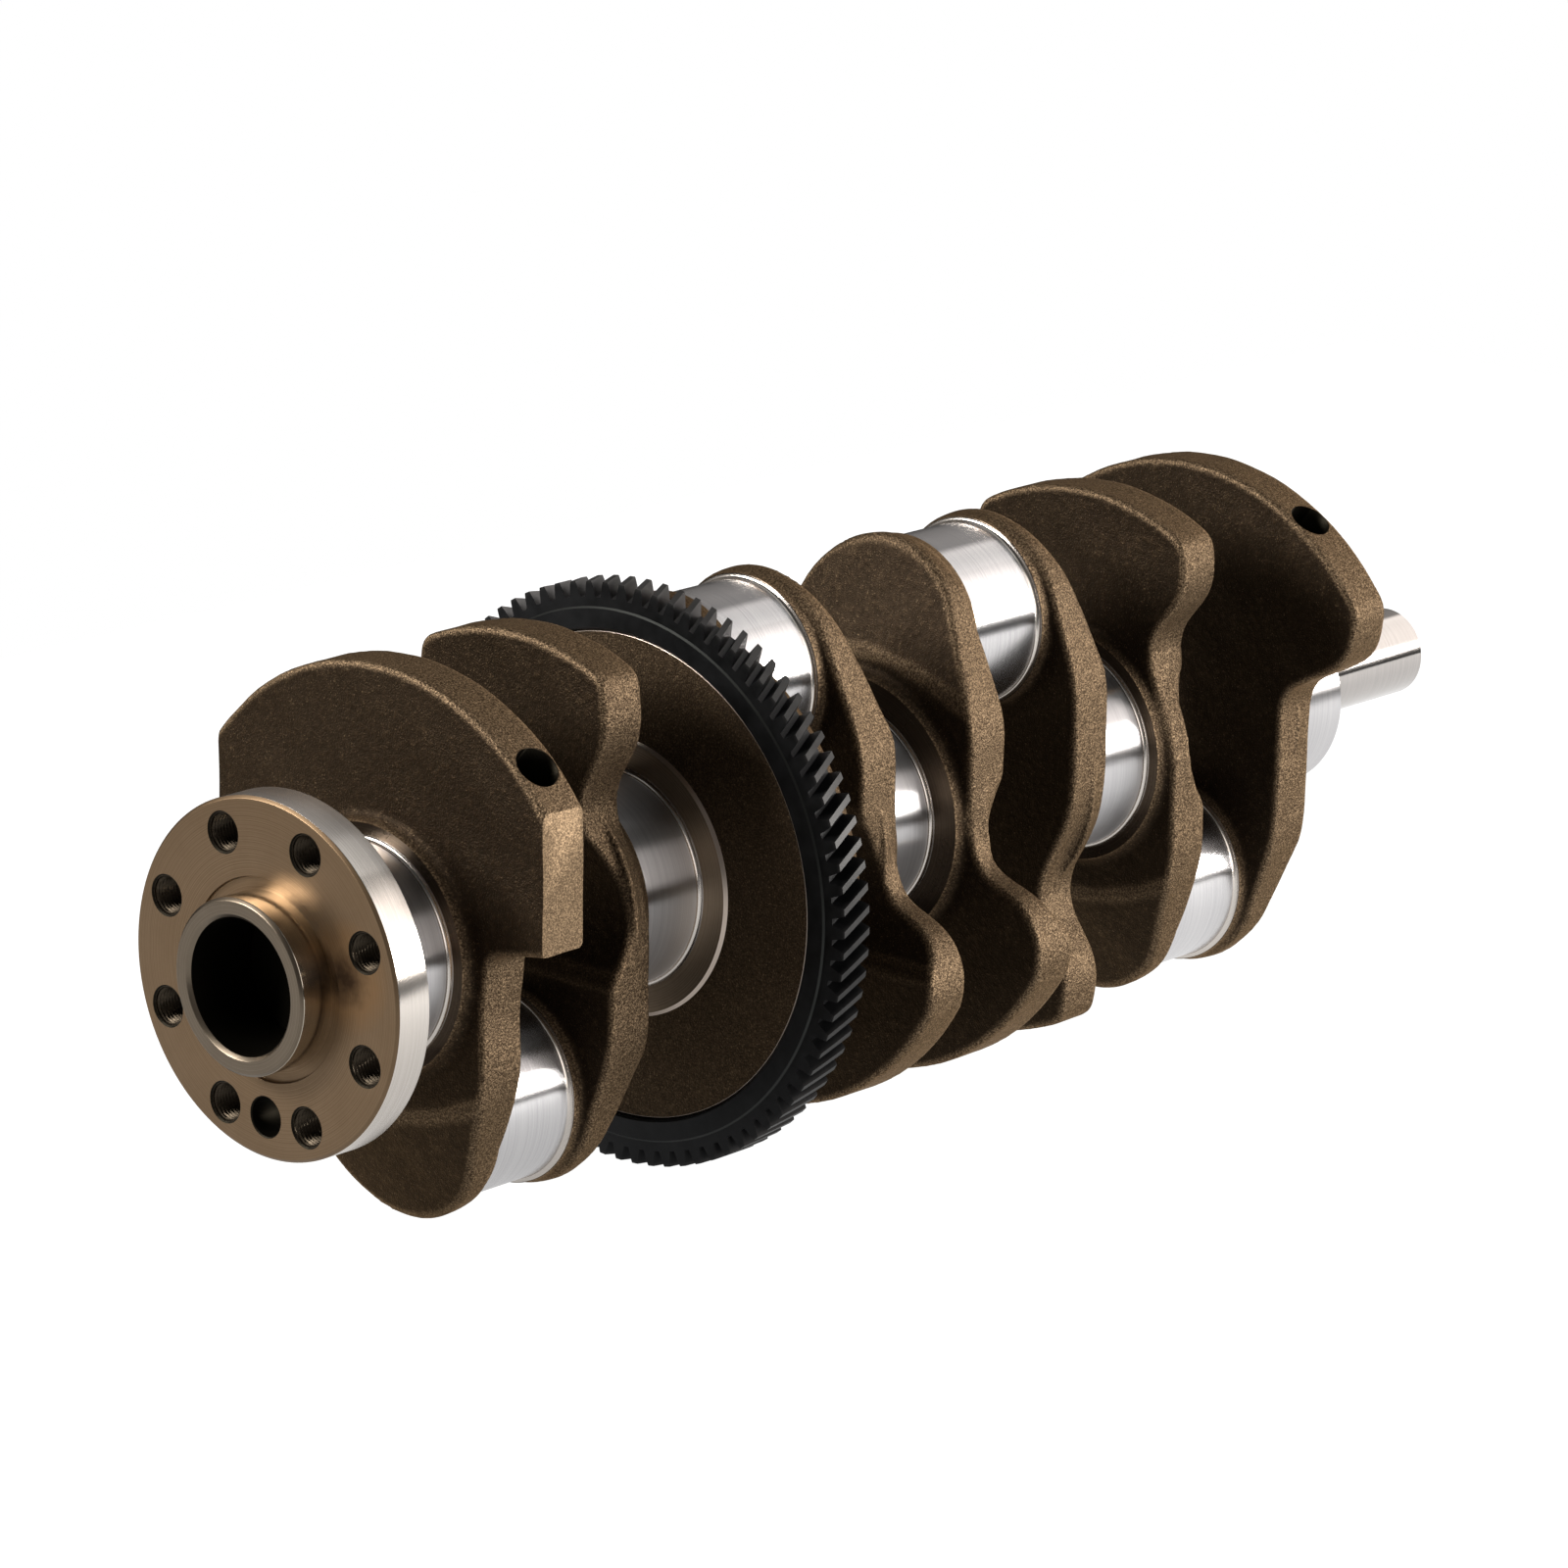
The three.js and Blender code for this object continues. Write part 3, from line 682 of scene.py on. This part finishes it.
GRID_STEP = 0.93
GRID_MARGIN = 3.0  # how far the grid reaches past a web's bosses
SCOOP_DEPTH = 7.2
SCOOP_HALF_CHORD = 18.75
SCOOP_CENTRE = 6.25
SCOOP_RADIUS = (SCOOP_HALF_CHORD**2 + SCOOP_DEPTH**2) / (2 * SCOOP_DEPTH)
SCOOP_ROUNDING = 2.0
BEVEL_CENTRE = 25.4
BEVEL_RADIUS = 68.0
BEVEL_SLOPE = 0.31
BEVEL_ROUNDING = 0.5
EDGE_ROUNDING = 1.5
BOSS_FILLET = 1.2
MAIN_BOSS_ROOT = 6  # how deep the bosses are sunk into the web
PIN_BOSS_ROOT = 4
MACHINING_STOCK = 0.9  # left on a boss's end, and cut off flat
BALANCE_HOLE_RADIUS = 5.75
BALANCE_HOLE_DEPTH = 15
BALANCE_HOLE_MOUTH = 0.25
LEAST_SLOPE = 0.3
LONGEST_MOVE = 0.5
# how strongly rounded edges are lightened: partly wear, partly painted highlight
EDGE_WEAR_AND_HIGHLIGHT = 1.3
# how much a web's steep sides are lightened: painted light
SIDE_PAINTED_LIGHT = 0.62


def waviness(x, y, z, phase):
    """Slow unevenness of a forged surface, at most about a sixth of a millimetre."""
    a = np.sin(x * 0.31 + y * 0.17 + phase) * np.sin(y * 0.23 - z * 0.19 + 2 * phase)
    b = np.sin(x * 0.11 - y * 0.13 + z * 0.29 + 3 * phase)
    return 0.10 * a + 0.07 * b


def web_field(number, outline, scooped, thrust):
    """A web's distance field, in its own (u, y, w): u from its main-journal face, w up."""
    bevel_cos = 1 / math.hypot(1, BEVEL_SLOPE)
    boss = THRUST_BOSS_RADIUS if thrust else MAIN_BOSS_RADIUS
    lean = BOSS_DRAFT / BOSS_HEIGHT
    lean_cos = 1 / math.hypot(1, lean)
    boss_end = BOSS_HEIGHT + MACHINING_STOCK

    def field(u, y, w, side=None):
        if side is None:
            side = outline_distance(outline, y, w)
        ridge = (np.hypot(y, w - BEVEL_CENTRE) - BEVEL_RADIUS) * BEVEL_SLOPE
        front = round_max(-u, (ridge - u) * bevel_cos, BEVEL_ROUNDING)
        back = u - PLATE
        if scooped:
            away = np.hypot(back - SCOOP_RADIUS + SCOOP_DEPTH, w - SCOOP_CENTRE)
            back = round_max(back, SCOOP_RADIUS - away, SCOOP_ROUNDING)
        body = round_max(np.maximum(front, back), side, EDGE_ROUNDING)
        body = body + waviness(u, y, w, number)
        main = (np.hypot(y, w) - boss - BOSS_DRAFT - u * lean) * lean_cos
        main = np.maximum(main, np.maximum(-u - boss_end, u - MAIN_BOSS_ROOT))
        pin = np.hypot(y, w + THROW) - PIN_BOSS_RADIUS - PIN_BOSS_DRAFT
        pin = pin + (u - PLATE) * PIN_BOSS_DRAFT / BOSS_HEIGHT
        pin = np.maximum(pin, np.maximum(u - PLATE - boss_end, PLATE - PIN_BOSS_ROOT - u))
        return round_min(round_min(body, main, BOSS_FILLET), pin, BOSS_FILLET)

    return field


def web_mesh(field, outline):
    """A web's vertices and quads, moved from the surface net onto the field's zero surface."""
    reach = np.abs(np.array(outline)).max(0) + 2 * GRID_STEP
    side = BOSS_HEIGHT + GRID_MARGIN
    low = np.array([-side, -reach[0], -LOBE_REACH - THROW - 2 * GRID_STEP])
    high = [PLATE + side, reach[0], COUNTERWEIGHT_RADIUS + 2 * GRID_STEP]
    axes = [np.arange(a, b + GRID_STEP, GRID_STEP) for a, b in zip(low, high)]
    grid = np.meshgrid(*axes, indexing="ij")
    distance = outline_distance(outline, grid[1][0], grid[2][0])
    verts, quads = surface_net(field(*grid, distance[None]), low, GRID_STEP)
    for _ in range(2):
        slope = gradient(field, verts)
        length = np.maximum(np.linalg.norm(slope, axis=1), LEAST_SLOPE)[:, None]
        move = np.clip(field(*verts.T), -LONGEST_MOVE, LONGEST_MOVE)[:, None]
        verts = verts - slope / length * move
    return verts, quads


def rising(value, start, end):
    """0 up to the start, 1 from the end on, and in proportion between them."""
    return np.clip((value - start) / (end - start), 0, 1)


def web_wear_and_painted_light(field, outline, verts):
    """How brightly a web is lightened: fully on its edges, worn and with a painted highlight, and
    in a painted highlight line at its bosses' ends; partly on its sides, as painted light.
    """
    facing = gradient(field, verts)
    length = np.maximum(np.linalg.norm(facing, axis=1), LEAST_SLOPE)
    steepness = rising(1 - np.abs(facing[:, 0]) / length, 0.35, 0.75)
    rim = rising(outline_distance(outline, verts[:, 1], verts[:, 2]), -1.7, -0.9)
    edges = np.clip(bulge(field, verts) * EDGE_WEAR_AND_HIGHLIGHT, 0, 1)
    rise = np.maximum(-verts[:, 0], verts[:, 0] - PLATE) - BOSS_HEIGHT
    # painted light: the steep sides and the band along the outline are lightened as if lit
    sides = SIDE_PAINTED_LIGHT * np.maximum(steepness, rim)
    # painted highlight: a bright line round each boss just short of its machined end
    return np.maximum(np.maximum(edges, sides), rising(rise, -0.9, -0.4))


WEB_MATERIALS = [FORGED, BOSS_FACE, HOLE_SHADE, MILLED]
# a balance hole's inside gets the painted shade
BOSS_INDEX, HOLE_INDEX, FLAT_INDEX = 1, 2, 3


def forged_web(number):
    """A web. An odd one has its main journal towards the nose, an even one away from it."""
    outline, scooped, thrust, hole, flats = WEBS[number]
    start, end = span(f"crank_web_{number}")
    up = -math.copysign(1, PIN_HEIGHT[math.ceil(number / 2)])
    towards = -1 if number % 2 else 1
    main_plane, pin_plane = (end, start) if number % 2 else (start, end)
    plate = main_plane + towards * BOSS_HEIGHT
    field = web_field(number, outline, scooped, thrust)
    verts, quads = web_mesh(field, outline)
    world = np.stack([plate + towards * verts[:, 0], verts[:, 1], up * verts[:, 2]], axis=1)
    if towards * up < 0:
        quads = quads[:, ::-1]
    piece = make_piece(f"web_{number}", world, quads.tolist(), WEB_MATERIALS, sharp_angle=180)
    # the attribute holds wear and painted light
    wear_and_painted_light = piece.data.attributes.new("wear_and_painted_light", "FLOAT", "POINT")
    wear_and_painted_light.data.foreach_set("value", web_wear_and_painted_light(field, outline, verts).astype(np.float32))
    slice_flat(piece, (main_plane, 0, 0), (-towards, 0, 0), BOSS_INDEX)
    slice_flat(piece, (pin_plane, 0, 0), (towards, 0, 0), BOSS_INDEX)
    if flats is not None:
        slice_flat(piece, (0, flats, 0), (0, 1, 0), FLAT_INDEX)
        slice_flat(piece, (0, -flats, 0), (0, -1, 0), FLAT_INDEX)
    if hole is not None:
        angle = math.radians(hole)
        out = Vector((0, -math.sin(angle), math.cos(angle)))
        mouth = Vector((plate + towards * PLATE / 2, 0, 0)) + out * COUNTERWEIGHT_RADIUS
        size = (BALANCE_HOLE_RADIUS, BALANCE_HOLE_DEPTH, BALANCE_HOLE_MOUTH)
        carve(piece, drill(mouth, out, *size, WEB_MATERIALS, HOLE_INDEX), sharp_angle=50)
    finish_piece(piece, "forged_steel", f"crank_web_{number}")


# ---------------------------------------------------------------- turned pieces

TOWARDS_FLYWHEEL = (-1, 0, 0)
TOWARDS_NOSE = (1, 0, 0)
FILLET = 1.2
FILLET_STEPS = 7
FILLET_RUN_OUT = 0.6
END_CHAMFER = 1.0
OIL_HOLE_RADIUS = 2.5
OIL_HOLE_DEPTH = 9
OIL_HOLE_MOUTH = 0.5
JOURNAL_SEGMENTS = 160


def journal(name, radius, height, material, filleted=True):
    """A ground journal, with its oil hole on the far side and a fillet or a chamfer at its end."""
    start, end = span(name)
    fillet = [
        (FILLET * (1 - math.cos(a)), radius + FILLET * (1 - math.sin(a)))
        for a in np.radians(np.linspace(0, 90, FILLET_STEPS))
    ]
    fillet.append((FILLET + FILLET_RUN_OUT, radius))
    profile = [(start, 0)] + [(start + inset, r) for inset, r in fillet]
    if filleted:
        profile += [(end - inset, r) for inset, r in fillet[::-1]]
    else:
        profile += [(end - END_CHAMFER, radius), (end, radius - END_CHAMFER)]
    profile.append((end, 0))
    materials = [material, HOLE_SHADE, FILLET_STEEL]

    def kind(_, r):
        if r > radius + 0.01:
            return 2
        # the journal's ends and its oil hole get the painted shade
        return 1 if r < 0.9 * radius else 0

    piece = turned(f"{name}_polished", profile, JOURNAL_SEGMENTS, materials, kind, height)
    mouth = ((start + end) / 2, radius, height)
    size = (OIL_HOLE_RADIUS, OIL_HOLE_DEPTH, OIL_HOLE_MOUTH)
    carve(piece, drill(mouth, (0, 1, 0), *size, materials))
    finish_piece(piece, "ground_steel", name)


def closed_tube(rings, count):
    """Quads that join rings of count points each, and the last ring to the first."""
    faces = []
    for row in range(rings):
        after = (row + 1) % rings
        for i in range(count):
            j = (i + 1) % count
            faces.append((row * count + i, after * count + i, after * count + j, row * count + j))
    return faces


THREAD_SEGMENTS = 36
ROWS_PER_TURN = 8
SLEEVE_WALL = 0.15
LEAD_IN = 1.2  # pitches over which a thread rises to its full height


def thread_lining(name, mouth, direction, outer, inner, pitch, length):
    """The inside of a threaded hole: a sleeve whose inner wall is a helical thread."""
    rows = int(length / pitch * ROWS_PER_TURN)
    groove = outer - SLEEVE_WALL
    verts = []
    for row in range(rows + 1):
        depth = length * row / rows
        height = (groove - inner) * min(1.0, depth / (LEAD_IN * pitch))
        for i in range(THREAD_SEGMENTS):
            phase = (depth / pitch - i / THREAD_SEGMENTS) % 1
            r = groove - height * abs(phase * 2 - 1)
            a = 2 * math.pi * i / THREAD_SEGMENTS
            verts.append((-depth, r * math.sin(a), r * math.cos(a)))
    for depth in (length, 0):
        for i in range(THREAD_SEGMENTS):
            a = 2 * math.pi * i / THREAD_SEGMENTS
            verts.append((-depth, outer * math.sin(a), outer * math.cos(a)))
    faces = closed_tube(rows + 3, THREAD_SEGMENTS)
    return aimed(make_piece(name, verts, faces, [SHADED_THREAD_STEEL], sharp_angle=60), mouth, direction)


def join(pieces, name):
    """Makes several pieces into one."""
    shape = bmesh.new()
    for piece in pieces:
        shape.from_mesh(piece.data)
    mesh = bpy.data.meshes.new(name)
    shape.to_mesh(mesh)
    shape.free()
    for material in pieces[0].data.materials:
        mesh.materials.append(material)
    for piece in pieces:
        bpy.data.objects.remove(piece)
    joined = bpy.data.objects.new(name, mesh)
    bpy.context.scene.collection.objects.link(joined)
    mesh.set_sharp_from_angle(angle=math.radians(SMOOTH_ANGLE))
    return joined


FLANGE_RADIUS = 45.7
FLANGE_THICKNESS = 11.2
FLANGE_EDGE = 0.8
FLANGE_BACK_EDGE = 0.6
RELIEF_RADIUS = 25.7
COLLAR_RADIUS = 22.3
PILOT_RADIUS = 17.3
PILOT_CHAMFER = 1.0
BOLT_CIRCLE = 37.25
BOLTS = 8
BOLT_HOLE_RADIUS = 5.07
BOLT_HOLE_MOUTH = 0.35
DOWEL_HEIGHT = -35
DOWEL_RADIUS = 5.1
DOWEL_MOUTH = 0.3
THROUGH = 16  # a drill of this length goes through the flange
THREAD_OUTER = 5.05
THREAD_INNER = 4.35
THREAD_PITCH = 1.0
THREAD_START = 0.45
COLLAR_SEGMENTS = 192


def collar():
    mouth, foot = span("pilot_collar")
    profile = rounded(
        [
            (foot, PILOT_RADIUS, 0),
            (mouth + PILOT_CHAMFER, PILOT_RADIUS, 0.4),
            (mouth, PILOT_RADIUS + PILOT_CHAMFER, 0.2),
            (mouth, COLLAR_RADIUS - FLANGE_EDGE, 0.3),
            (mouth + FLANGE_EDGE, COLLAR_RADIUS, 0.3),
            (foot, COLLAR_RADIUS, 0),
        ]
    )

    def kind(_, r):
        # the pilot bore gets the painted shade
        if r < PILOT_RADIUS + 0.05:
            return 1
        return 2 if r > COLLAR_RADIUS - 0.1 else 0

    piece = turned("collar", profile, COLLAR_SEGMENTS, [TURNED, HOLE_SHADE, COLLAR], kind)
    finish_piece(piece, "turned_steel", "pilot_collar")


def flange():
    face, boss_face = span("flywheel_flange")
    back = face + FLANGE_THICKNESS
    relief = span("pilot_collar")[1]
    materials = [FACED, HOLE_SHADE, RIM]
    profile = rounded(
        [
            (boss_face, PILOT_RADIUS, 0),
            (relief, PILOT_RADIUS, 0),
            (relief, RELIEF_RADIUS, 0.5),
            (face, RELIEF_RADIUS, 0.2),
            (face, FLANGE_RADIUS - FLANGE_EDGE, 0.25),
            (face + FLANGE_EDGE, FLANGE_RADIUS, 0.25),
            (back - FLANGE_BACK_EDGE, FLANGE_RADIUS, 0.25),
            (back, FLANGE_RADIUS - FLANGE_BACK_EDGE, 0.25),
            (back, MAIN_BOSS_RADIUS + 1.0, 0.6),
            (boss_face, MAIN_BOSS_RADIUS, 0.2),
        ]
    )

    def kind(_, r):
        if r > FLANGE_RADIUS - 0.3:
            return 2
        # the pilot bore gets the painted shade
        return 1 if r < PILOT_RADIUS + 0.1 else 0

    piece = turned("flange", profile, COLLAR_SEGMENTS, materials, kind)
    linings = []
    thread = (THREAD_OUTER, THREAD_INNER, THREAD_PITCH, FLANGE_THICKNESS - 1.0)
    for i in range(BOLTS):
        angle = 2 * math.pi * (i + 0.5) / BOLTS
        y, z = BOLT_CIRCLE * math.sin(angle), BOLT_CIRCLE * math.cos(angle)
        size = (BOLT_HOLE_RADIUS, THROUGH, BOLT_HOLE_MOUTH)
        carve(piece, drill((face, y, z), TOWARDS_FLYWHEEL, *size, materials))
        mouth = (face + THREAD_START, y, z)
        linings.append(thread_lining("thread", mouth, TOWARDS_FLYWHEEL, *thread))
    size = (DOWEL_RADIUS, THROUGH, DOWEL_MOUTH)
    carve(piece, drill((face, 0, DOWEL_HEIGHT), TOWARDS_FLYWHEEL, *size, materials))
    finish_piece(join(linings, "flange_threads"), "turned_steel")
    finish_piece(piece, "turned_steel", "flywheel_flange")


NOSE_RADIUS = 12.5
NOSE_CHAMFER = 1.0
NOSE_HOLE_RADIUS = 5.9
NOSE_HOLE_DEPTH = 29
NOSE_HOLE_POINT = 3
NOSE_COUNTERSINK = 0.9
NOSE_THREAD = (5.88, 5.1, 1.25, 26)  # outer and inner radius, pitch, length
NOSE_THREAD_START = 1.0


def nose():
    foot, end = span("pulley_nose")
    profile = rounded(
        [
            (end - NOSE_HOLE_DEPTH - NOSE_HOLE_POINT, 0, 0),
            (end - NOSE_HOLE_DEPTH, NOSE_HOLE_RADIUS, 0.2),
            (end - NOSE_COUNTERSINK, NOSE_HOLE_RADIUS, 0.1),
            (end, NOSE_HOLE_RADIUS + NOSE_COUNTERSINK, 0.1),
            (end, NOSE_RADIUS - NOSE_CHAMFER, 0.3),
            (end - NOSE_CHAMFER, NOSE_RADIUS, 0.3),
            (foot, NOSE_RADIUS, 0),
            (foot, 0, 0),
        ]
    )[::-1]
    piece = turned("nose", profile, 128, [NOSE])
    mouth = (end - NOSE_THREAD_START, 0, 0)
    finish_piece(thread_lining("nose_thread", mouth, TOWARDS_NOSE, *NOSE_THREAD), "turned_steel")
    finish_piece(piece, "turned_steel", "pulley_nose")


# ---------------------------------------------------------------- gear and its disc

DISC_BOSS_HEIGHT = 0.8
DISC_CHAMFER = 0.4
SEAT_RADIUS = 64.0
DISC_RADIUS = 68.5
DISC_LOBE_FOOT = 24.5
DISC_LOBE_RADIUS = 26.2
LOBE_SINK = 0.1
PAD_SINK = 3


def gear_disc():
    """The disc-shaped web: turned seat for the gear, with the crankpin's lobe behind it."""
    name = "crank_web_6_gear_disc"
    boss_face, pin_face = span(name)
    gear_back = span("balancer_ring_gear")[1]
    face, back = boss_face + DISC_BOSS_HEIGHT, pin_face - BOSS_HEIGHT
    materials = [PAINTED_LIGHT_DISC_SKIN, RING, EDGE_HIGHLIGHT]
    profile = rounded(
        [
            (boss_face, 0, 0),
            (boss_face, THRUST_BOSS_RADIUS - DISC_CHAMFER, 0.15),
            (face, THRUST_BOSS_RADIUS + DISC_CHAMFER, 0.15),
            (face, SEAT_RADIUS - DISC_CHAMFER, 0.1),
            (face + DISC_CHAMFER, SEAT_RADIUS, 0.1),
            (gear_back, SEAT_RADIUS, 0),
            (gear_back, DISC_RADIUS, 0.5),
            (back, DISC_RADIUS, 2.2),
            (back, SEAT_RADIUS, 0),
            (back, 0, 0),
        ]
    )

    def kind(x, r):
        # the chamfer rings get the painted highlight
        if abs(r - THRUST_BOSS_RADIUS) < 0.5 or SEAT_RADIUS - 0.45 < r < SEAT_RADIUS + 0.2:
            return 2
        return 1 if r < THRUST_BOSS_RADIUS and x < face else 0

    piece = turned("gear_disc", profile, 224, materials, kind)
    root = gear_back + LOBE_SINK
    lobe = [(root, 0, 0), (root, DISC_LOBE_FOOT, 0), (back, DISC_LOBE_RADIUS, 1.0), (back, 0, 0)]
    root = back - PAD_SINK
    pad = [
        (root, 0, 0),
        (root, DISC_LOBE_RADIUS, 0),
        (back, DISC_LOBE_RADIUS, 0),
        (pin_face, PIN_BOSS_RADIUS, 0.2),
        (pin_face, 0, 0),
    ]
    for part, corners in (("lobe", lobe), ("pad", pad)):
        carve(piece, turned(part, rounded(corners), 128, materials, height=THROW), "UNION")
    finish_piece(piece, "forged_steel", name)


TEETH = 84
TIP_RADIUS = 76.59
ROOT_RADIUS = 72.5
HELIX = math.radians(28)
BORE_RADIUS = 64.2
BORE_CHAMFER = 0.5
STEP_RADIUS = 69.6
STEP = 0.45
STEP_DRAFT = 0.5
ROOT_CLEARANCE = 0.3
TIP_CHAMFER = 0.12
GEAR_SECTIONS = 7

# half a tooth: share of a pitch from the tooth's middle, radius
TOOTH = [
    (-0.5, ROOT_RADIUS),
    (-0.36, 72.55),
    (-0.315, 73.3),
    (-0.26, 74.6),
    (-0.19, 76.0),
    (-0.155, TIP_RADIUS),
]


def ring_gear():
    """The helical ring gear, with both its faces stepped down towards the teeth."""
    face, back = span("balancer_ring_gear")
    tooth = TOOTH + [(-share, r) for share, r in TOOTH[:0:-1]]
    shares = np.array([number + share for number in range(TEETH) for share, _ in tooth])
    radii = np.array([r for _ in range(TEETH) for _, r in tooth])
    angles = shares * 2 * math.pi / TEETH
    count = len(angles)

    def ring(x, radius):
        a = angles + math.tan(HELIX) * (x - face) / TIP_RADIUS
        return np.stack([np.full(count, x), radius * np.sin(a), radius * np.cos(a)], axis=1)

    side = [
        (BORE_CHAMFER, BORE_RADIUS),
        (0, BORE_RADIUS + BORE_CHAMFER),
        (0, STEP_RADIUS),
        (STEP, STEP_RADIUS + STEP_DRAFT),
        (STEP, ROOT_RADIUS - ROOT_CLEARANCE),
        (STEP, np.minimum(radii, TIP_RADIUS - TIP_CHAMFER)),
    ]
    end = STEP + TIP_CHAMFER
    rings = [ring(face + inset, radius) for inset, radius in side]
    rings += [ring(x, radii) for x in np.linspace(face + end, back - end, GEAR_SECTIONS)]
    rings += [ring(back - inset, radius) for inset, radius in side[::-1]]
    steps = (2, len(rings) - 4)
    kinds = [int(row in steps) for row in range(len(rings)) for _ in range(count)]
    faces = closed_tube(len(rings), count)
    piece = make_piece("ring_gear", np.concatenate(rings), faces, [GEAR, LIP], kinds, 24)
    finish_piece(piece, "blackened_gear_steel", "balancer_ring_gear")


for number in WEBS:
    forged_web(number)
for number in range(1, 6):
    journal(f"main_journal_{number}", MAIN_RADIUS, 0.0, GROUND, number != 1)
for number, height in PIN_HEIGHT.items():
    journal(f"crankpin_{number}", PIN_RADIUS, height, POLISHED)
gear_disc()
ring_gear()
collar()
flange()
nose()

# ---------------------------------------------------------------- floor, light and camera

LIT_SIDE = (0.72, -0.69, 0)  # the side of the studio that is lit
FLOOR_GAP = 0.0005
FLOOR_LENGTH = 1.8
FLOOR_WIDTH = 1.0
WALL = (1.0, 0.94, 0.90)
WALL_STRENGTH = 2.2
SOFTBOX_COLOUR = (1.0, 0.97, 0.93)


def floor_material():
    """A floor that glows white to the camera, and lights the object less at its flange end."""
    material, tree, shader = new_material("studio_floor")
    cloud = noise(tree, place_on_object(tree), 3, 2.0)
    colour = ramp(tree, cloud, [(0.3, grey(0.08)), (0.7, grey(0.10))])
    tree.links.new(colour, shader.inputs["Base Color"])
    shader.inputs["Roughness"].default_value = 0.9
    shader.inputs["Emission Color"].default_value = (1, 1, 1, 1)
    ahead = vector_node(tree, "DOT_PRODUCT", place_on_object(tree), LIT_SIDE)
    glow = remap(tree, ahead, (-0.1, 0.2), (0.62, 1.0))
    seen = node(tree, "ShaderNodeLightPath").outputs["Is Camera Ray"]
    strength = math_node(tree, "MAXIMUM", glow, seen)
    tree.links.new(strength, shader.inputs["Emission Strength"])
    return material


def studio_floor():
    mesh = bpy.data.meshes.new("studio_floor")
    x, y = FLOOR_LENGTH / 2, FLOOR_WIDTH / 2
    mesh.from_pydata([(-x, -y, 0), (x, -y, 0), (x, y, 0), (-x, y, 0)], [], [(0, 1, 2, 3)])
    mesh.materials.append(floor_material())
    made = bpy.data.objects.new("studio_floor", mesh)
    made.location = (0, 0, cad_box[0][2] - FLOOR_GAP)
    bpy.context.scene.collection.objects.link(made)


def softbox(name, place, target, width, height, power, colour=(1, 1, 1)):
    light = bpy.data.lights.new(name, "AREA")
    light.shape = "RECTANGLE"
    light.size, light.size_y = width, height
    light.energy = power
    light.color = colour
    made = bpy.data.objects.new(name, light)
    made.location = place
    made.rotation_euler = (Vector(target) - Vector(place)).to_track_quat("-Z", "Y").to_euler()
    bpy.context.scene.collection.objects.link(made)


def studio_world():
    """Soft surroundings: a white wall on the lit side, dim elsewhere, dark at its foot and top."""
    world = bpy.data.worlds.new("studio")
    bpy.context.scene.world = world
    world.use_nodes = True
    tree = world.node_tree
    shade = tree.nodes["Background"]
    direction = node(tree, "ShaderNodeTexCoord").outputs["Generated"]
    height = node(tree, "ShaderNodeSeparateXYZ", {0: direction}).outputs[2]
    wall = ramp(
        tree,
        remap(tree, height, (-1.0, 1.0)),
        [(0.525, grey(0.01)), (0.535, WALL), (0.80, WALL), (0.835, (0.19, 0.19, 0.185))],
    )
    facing = vector_node(tree, "DOT_PRODUCT", direction, LIT_SIDE)
    side = ramp(
        tree,
        remap(tree, facing, (-1.0, 1.0)),
        [(0.0, grey(0.04)), (0.5, grey(0.06)), (0.68, grey(0.22)), (0.715, grey(1.0))],
    )
    tree.links.new(wall, shade.inputs["Color"])
    tree.links.new(math_node(tree, "MULTIPLY", side, WALL_STRENGTH), shade.inputs["Strength"])
    seen = node(tree, "ShaderNodeLightPath").outputs["Is Camera Ray"]
    plain = node(tree, "ShaderNodeBackground", {"Color": (1, 1, 1, 1), "Strength": 1.0})
    either = node(tree, "ShaderNodeMixShader", {0: seen, 1: shade.outputs[0], 2: plain.outputs[0]})
    tree.links.new(either.outputs[0], tree.nodes["World Output"].inputs["Surface"])


studio_floor()
softbox("overhead", (0.5, 0.2, 1.9), (0, 0, 0), 2.4, 1.8, 5)
softbox("key", (1.15, -1.5, 0.38), (0, 0, 0.02), 1.2, 0.5, 55, SOFTBOX_COLOUR)
softbox("rear_left", (-1.35, 0.9, 0.95), (0, 0, 0), 0.8, 0.6, 60, SOFTBOX_COLOUR)
studio_world()

# the camera that was solved from the photo
AZIMUTH = math.radians(-48.394)
ELEVATION = math.radians(15.598)
ROLL = math.radians(0.846)
CAMERA_PLACE = (-1.26185, -1.10699, 0.47734)
LENS = 151.386
SENSOR_WIDTH = 36
FAR_CLIP = 50


def photo_camera():
    level = math.cos(ELEVATION)
    behind = Vector((math.sin(AZIMUTH) * level, -math.cos(AZIMUTH) * level, math.sin(ELEVATION)))
    right = (-behind).cross(Vector((0, 0, 1))).normalized()
    up = right.cross(-behind)
    across = right * math.cos(ROLL) + up * math.sin(ROLL)
    above = up * math.cos(ROLL) - right * math.sin(ROLL)
    turn = Matrix((across, above, behind)).transposed().to_4x4()
    data = bpy.data.cameras.new("camera")
    data.sensor_width = SENSOR_WIDTH
    data.lens = LENS
    data.clip_end = FAR_CLIP
    camera = bpy.data.objects.new("camera", data)
    camera.matrix_world = Matrix.Translation(CAMERA_PLACE) @ turn
    bpy.context.scene.collection.objects.link(camera)
    bpy.context.scene.camera = camera


photo_camera()
bpy.context.scene.view_settings.view_transform = "Standard"
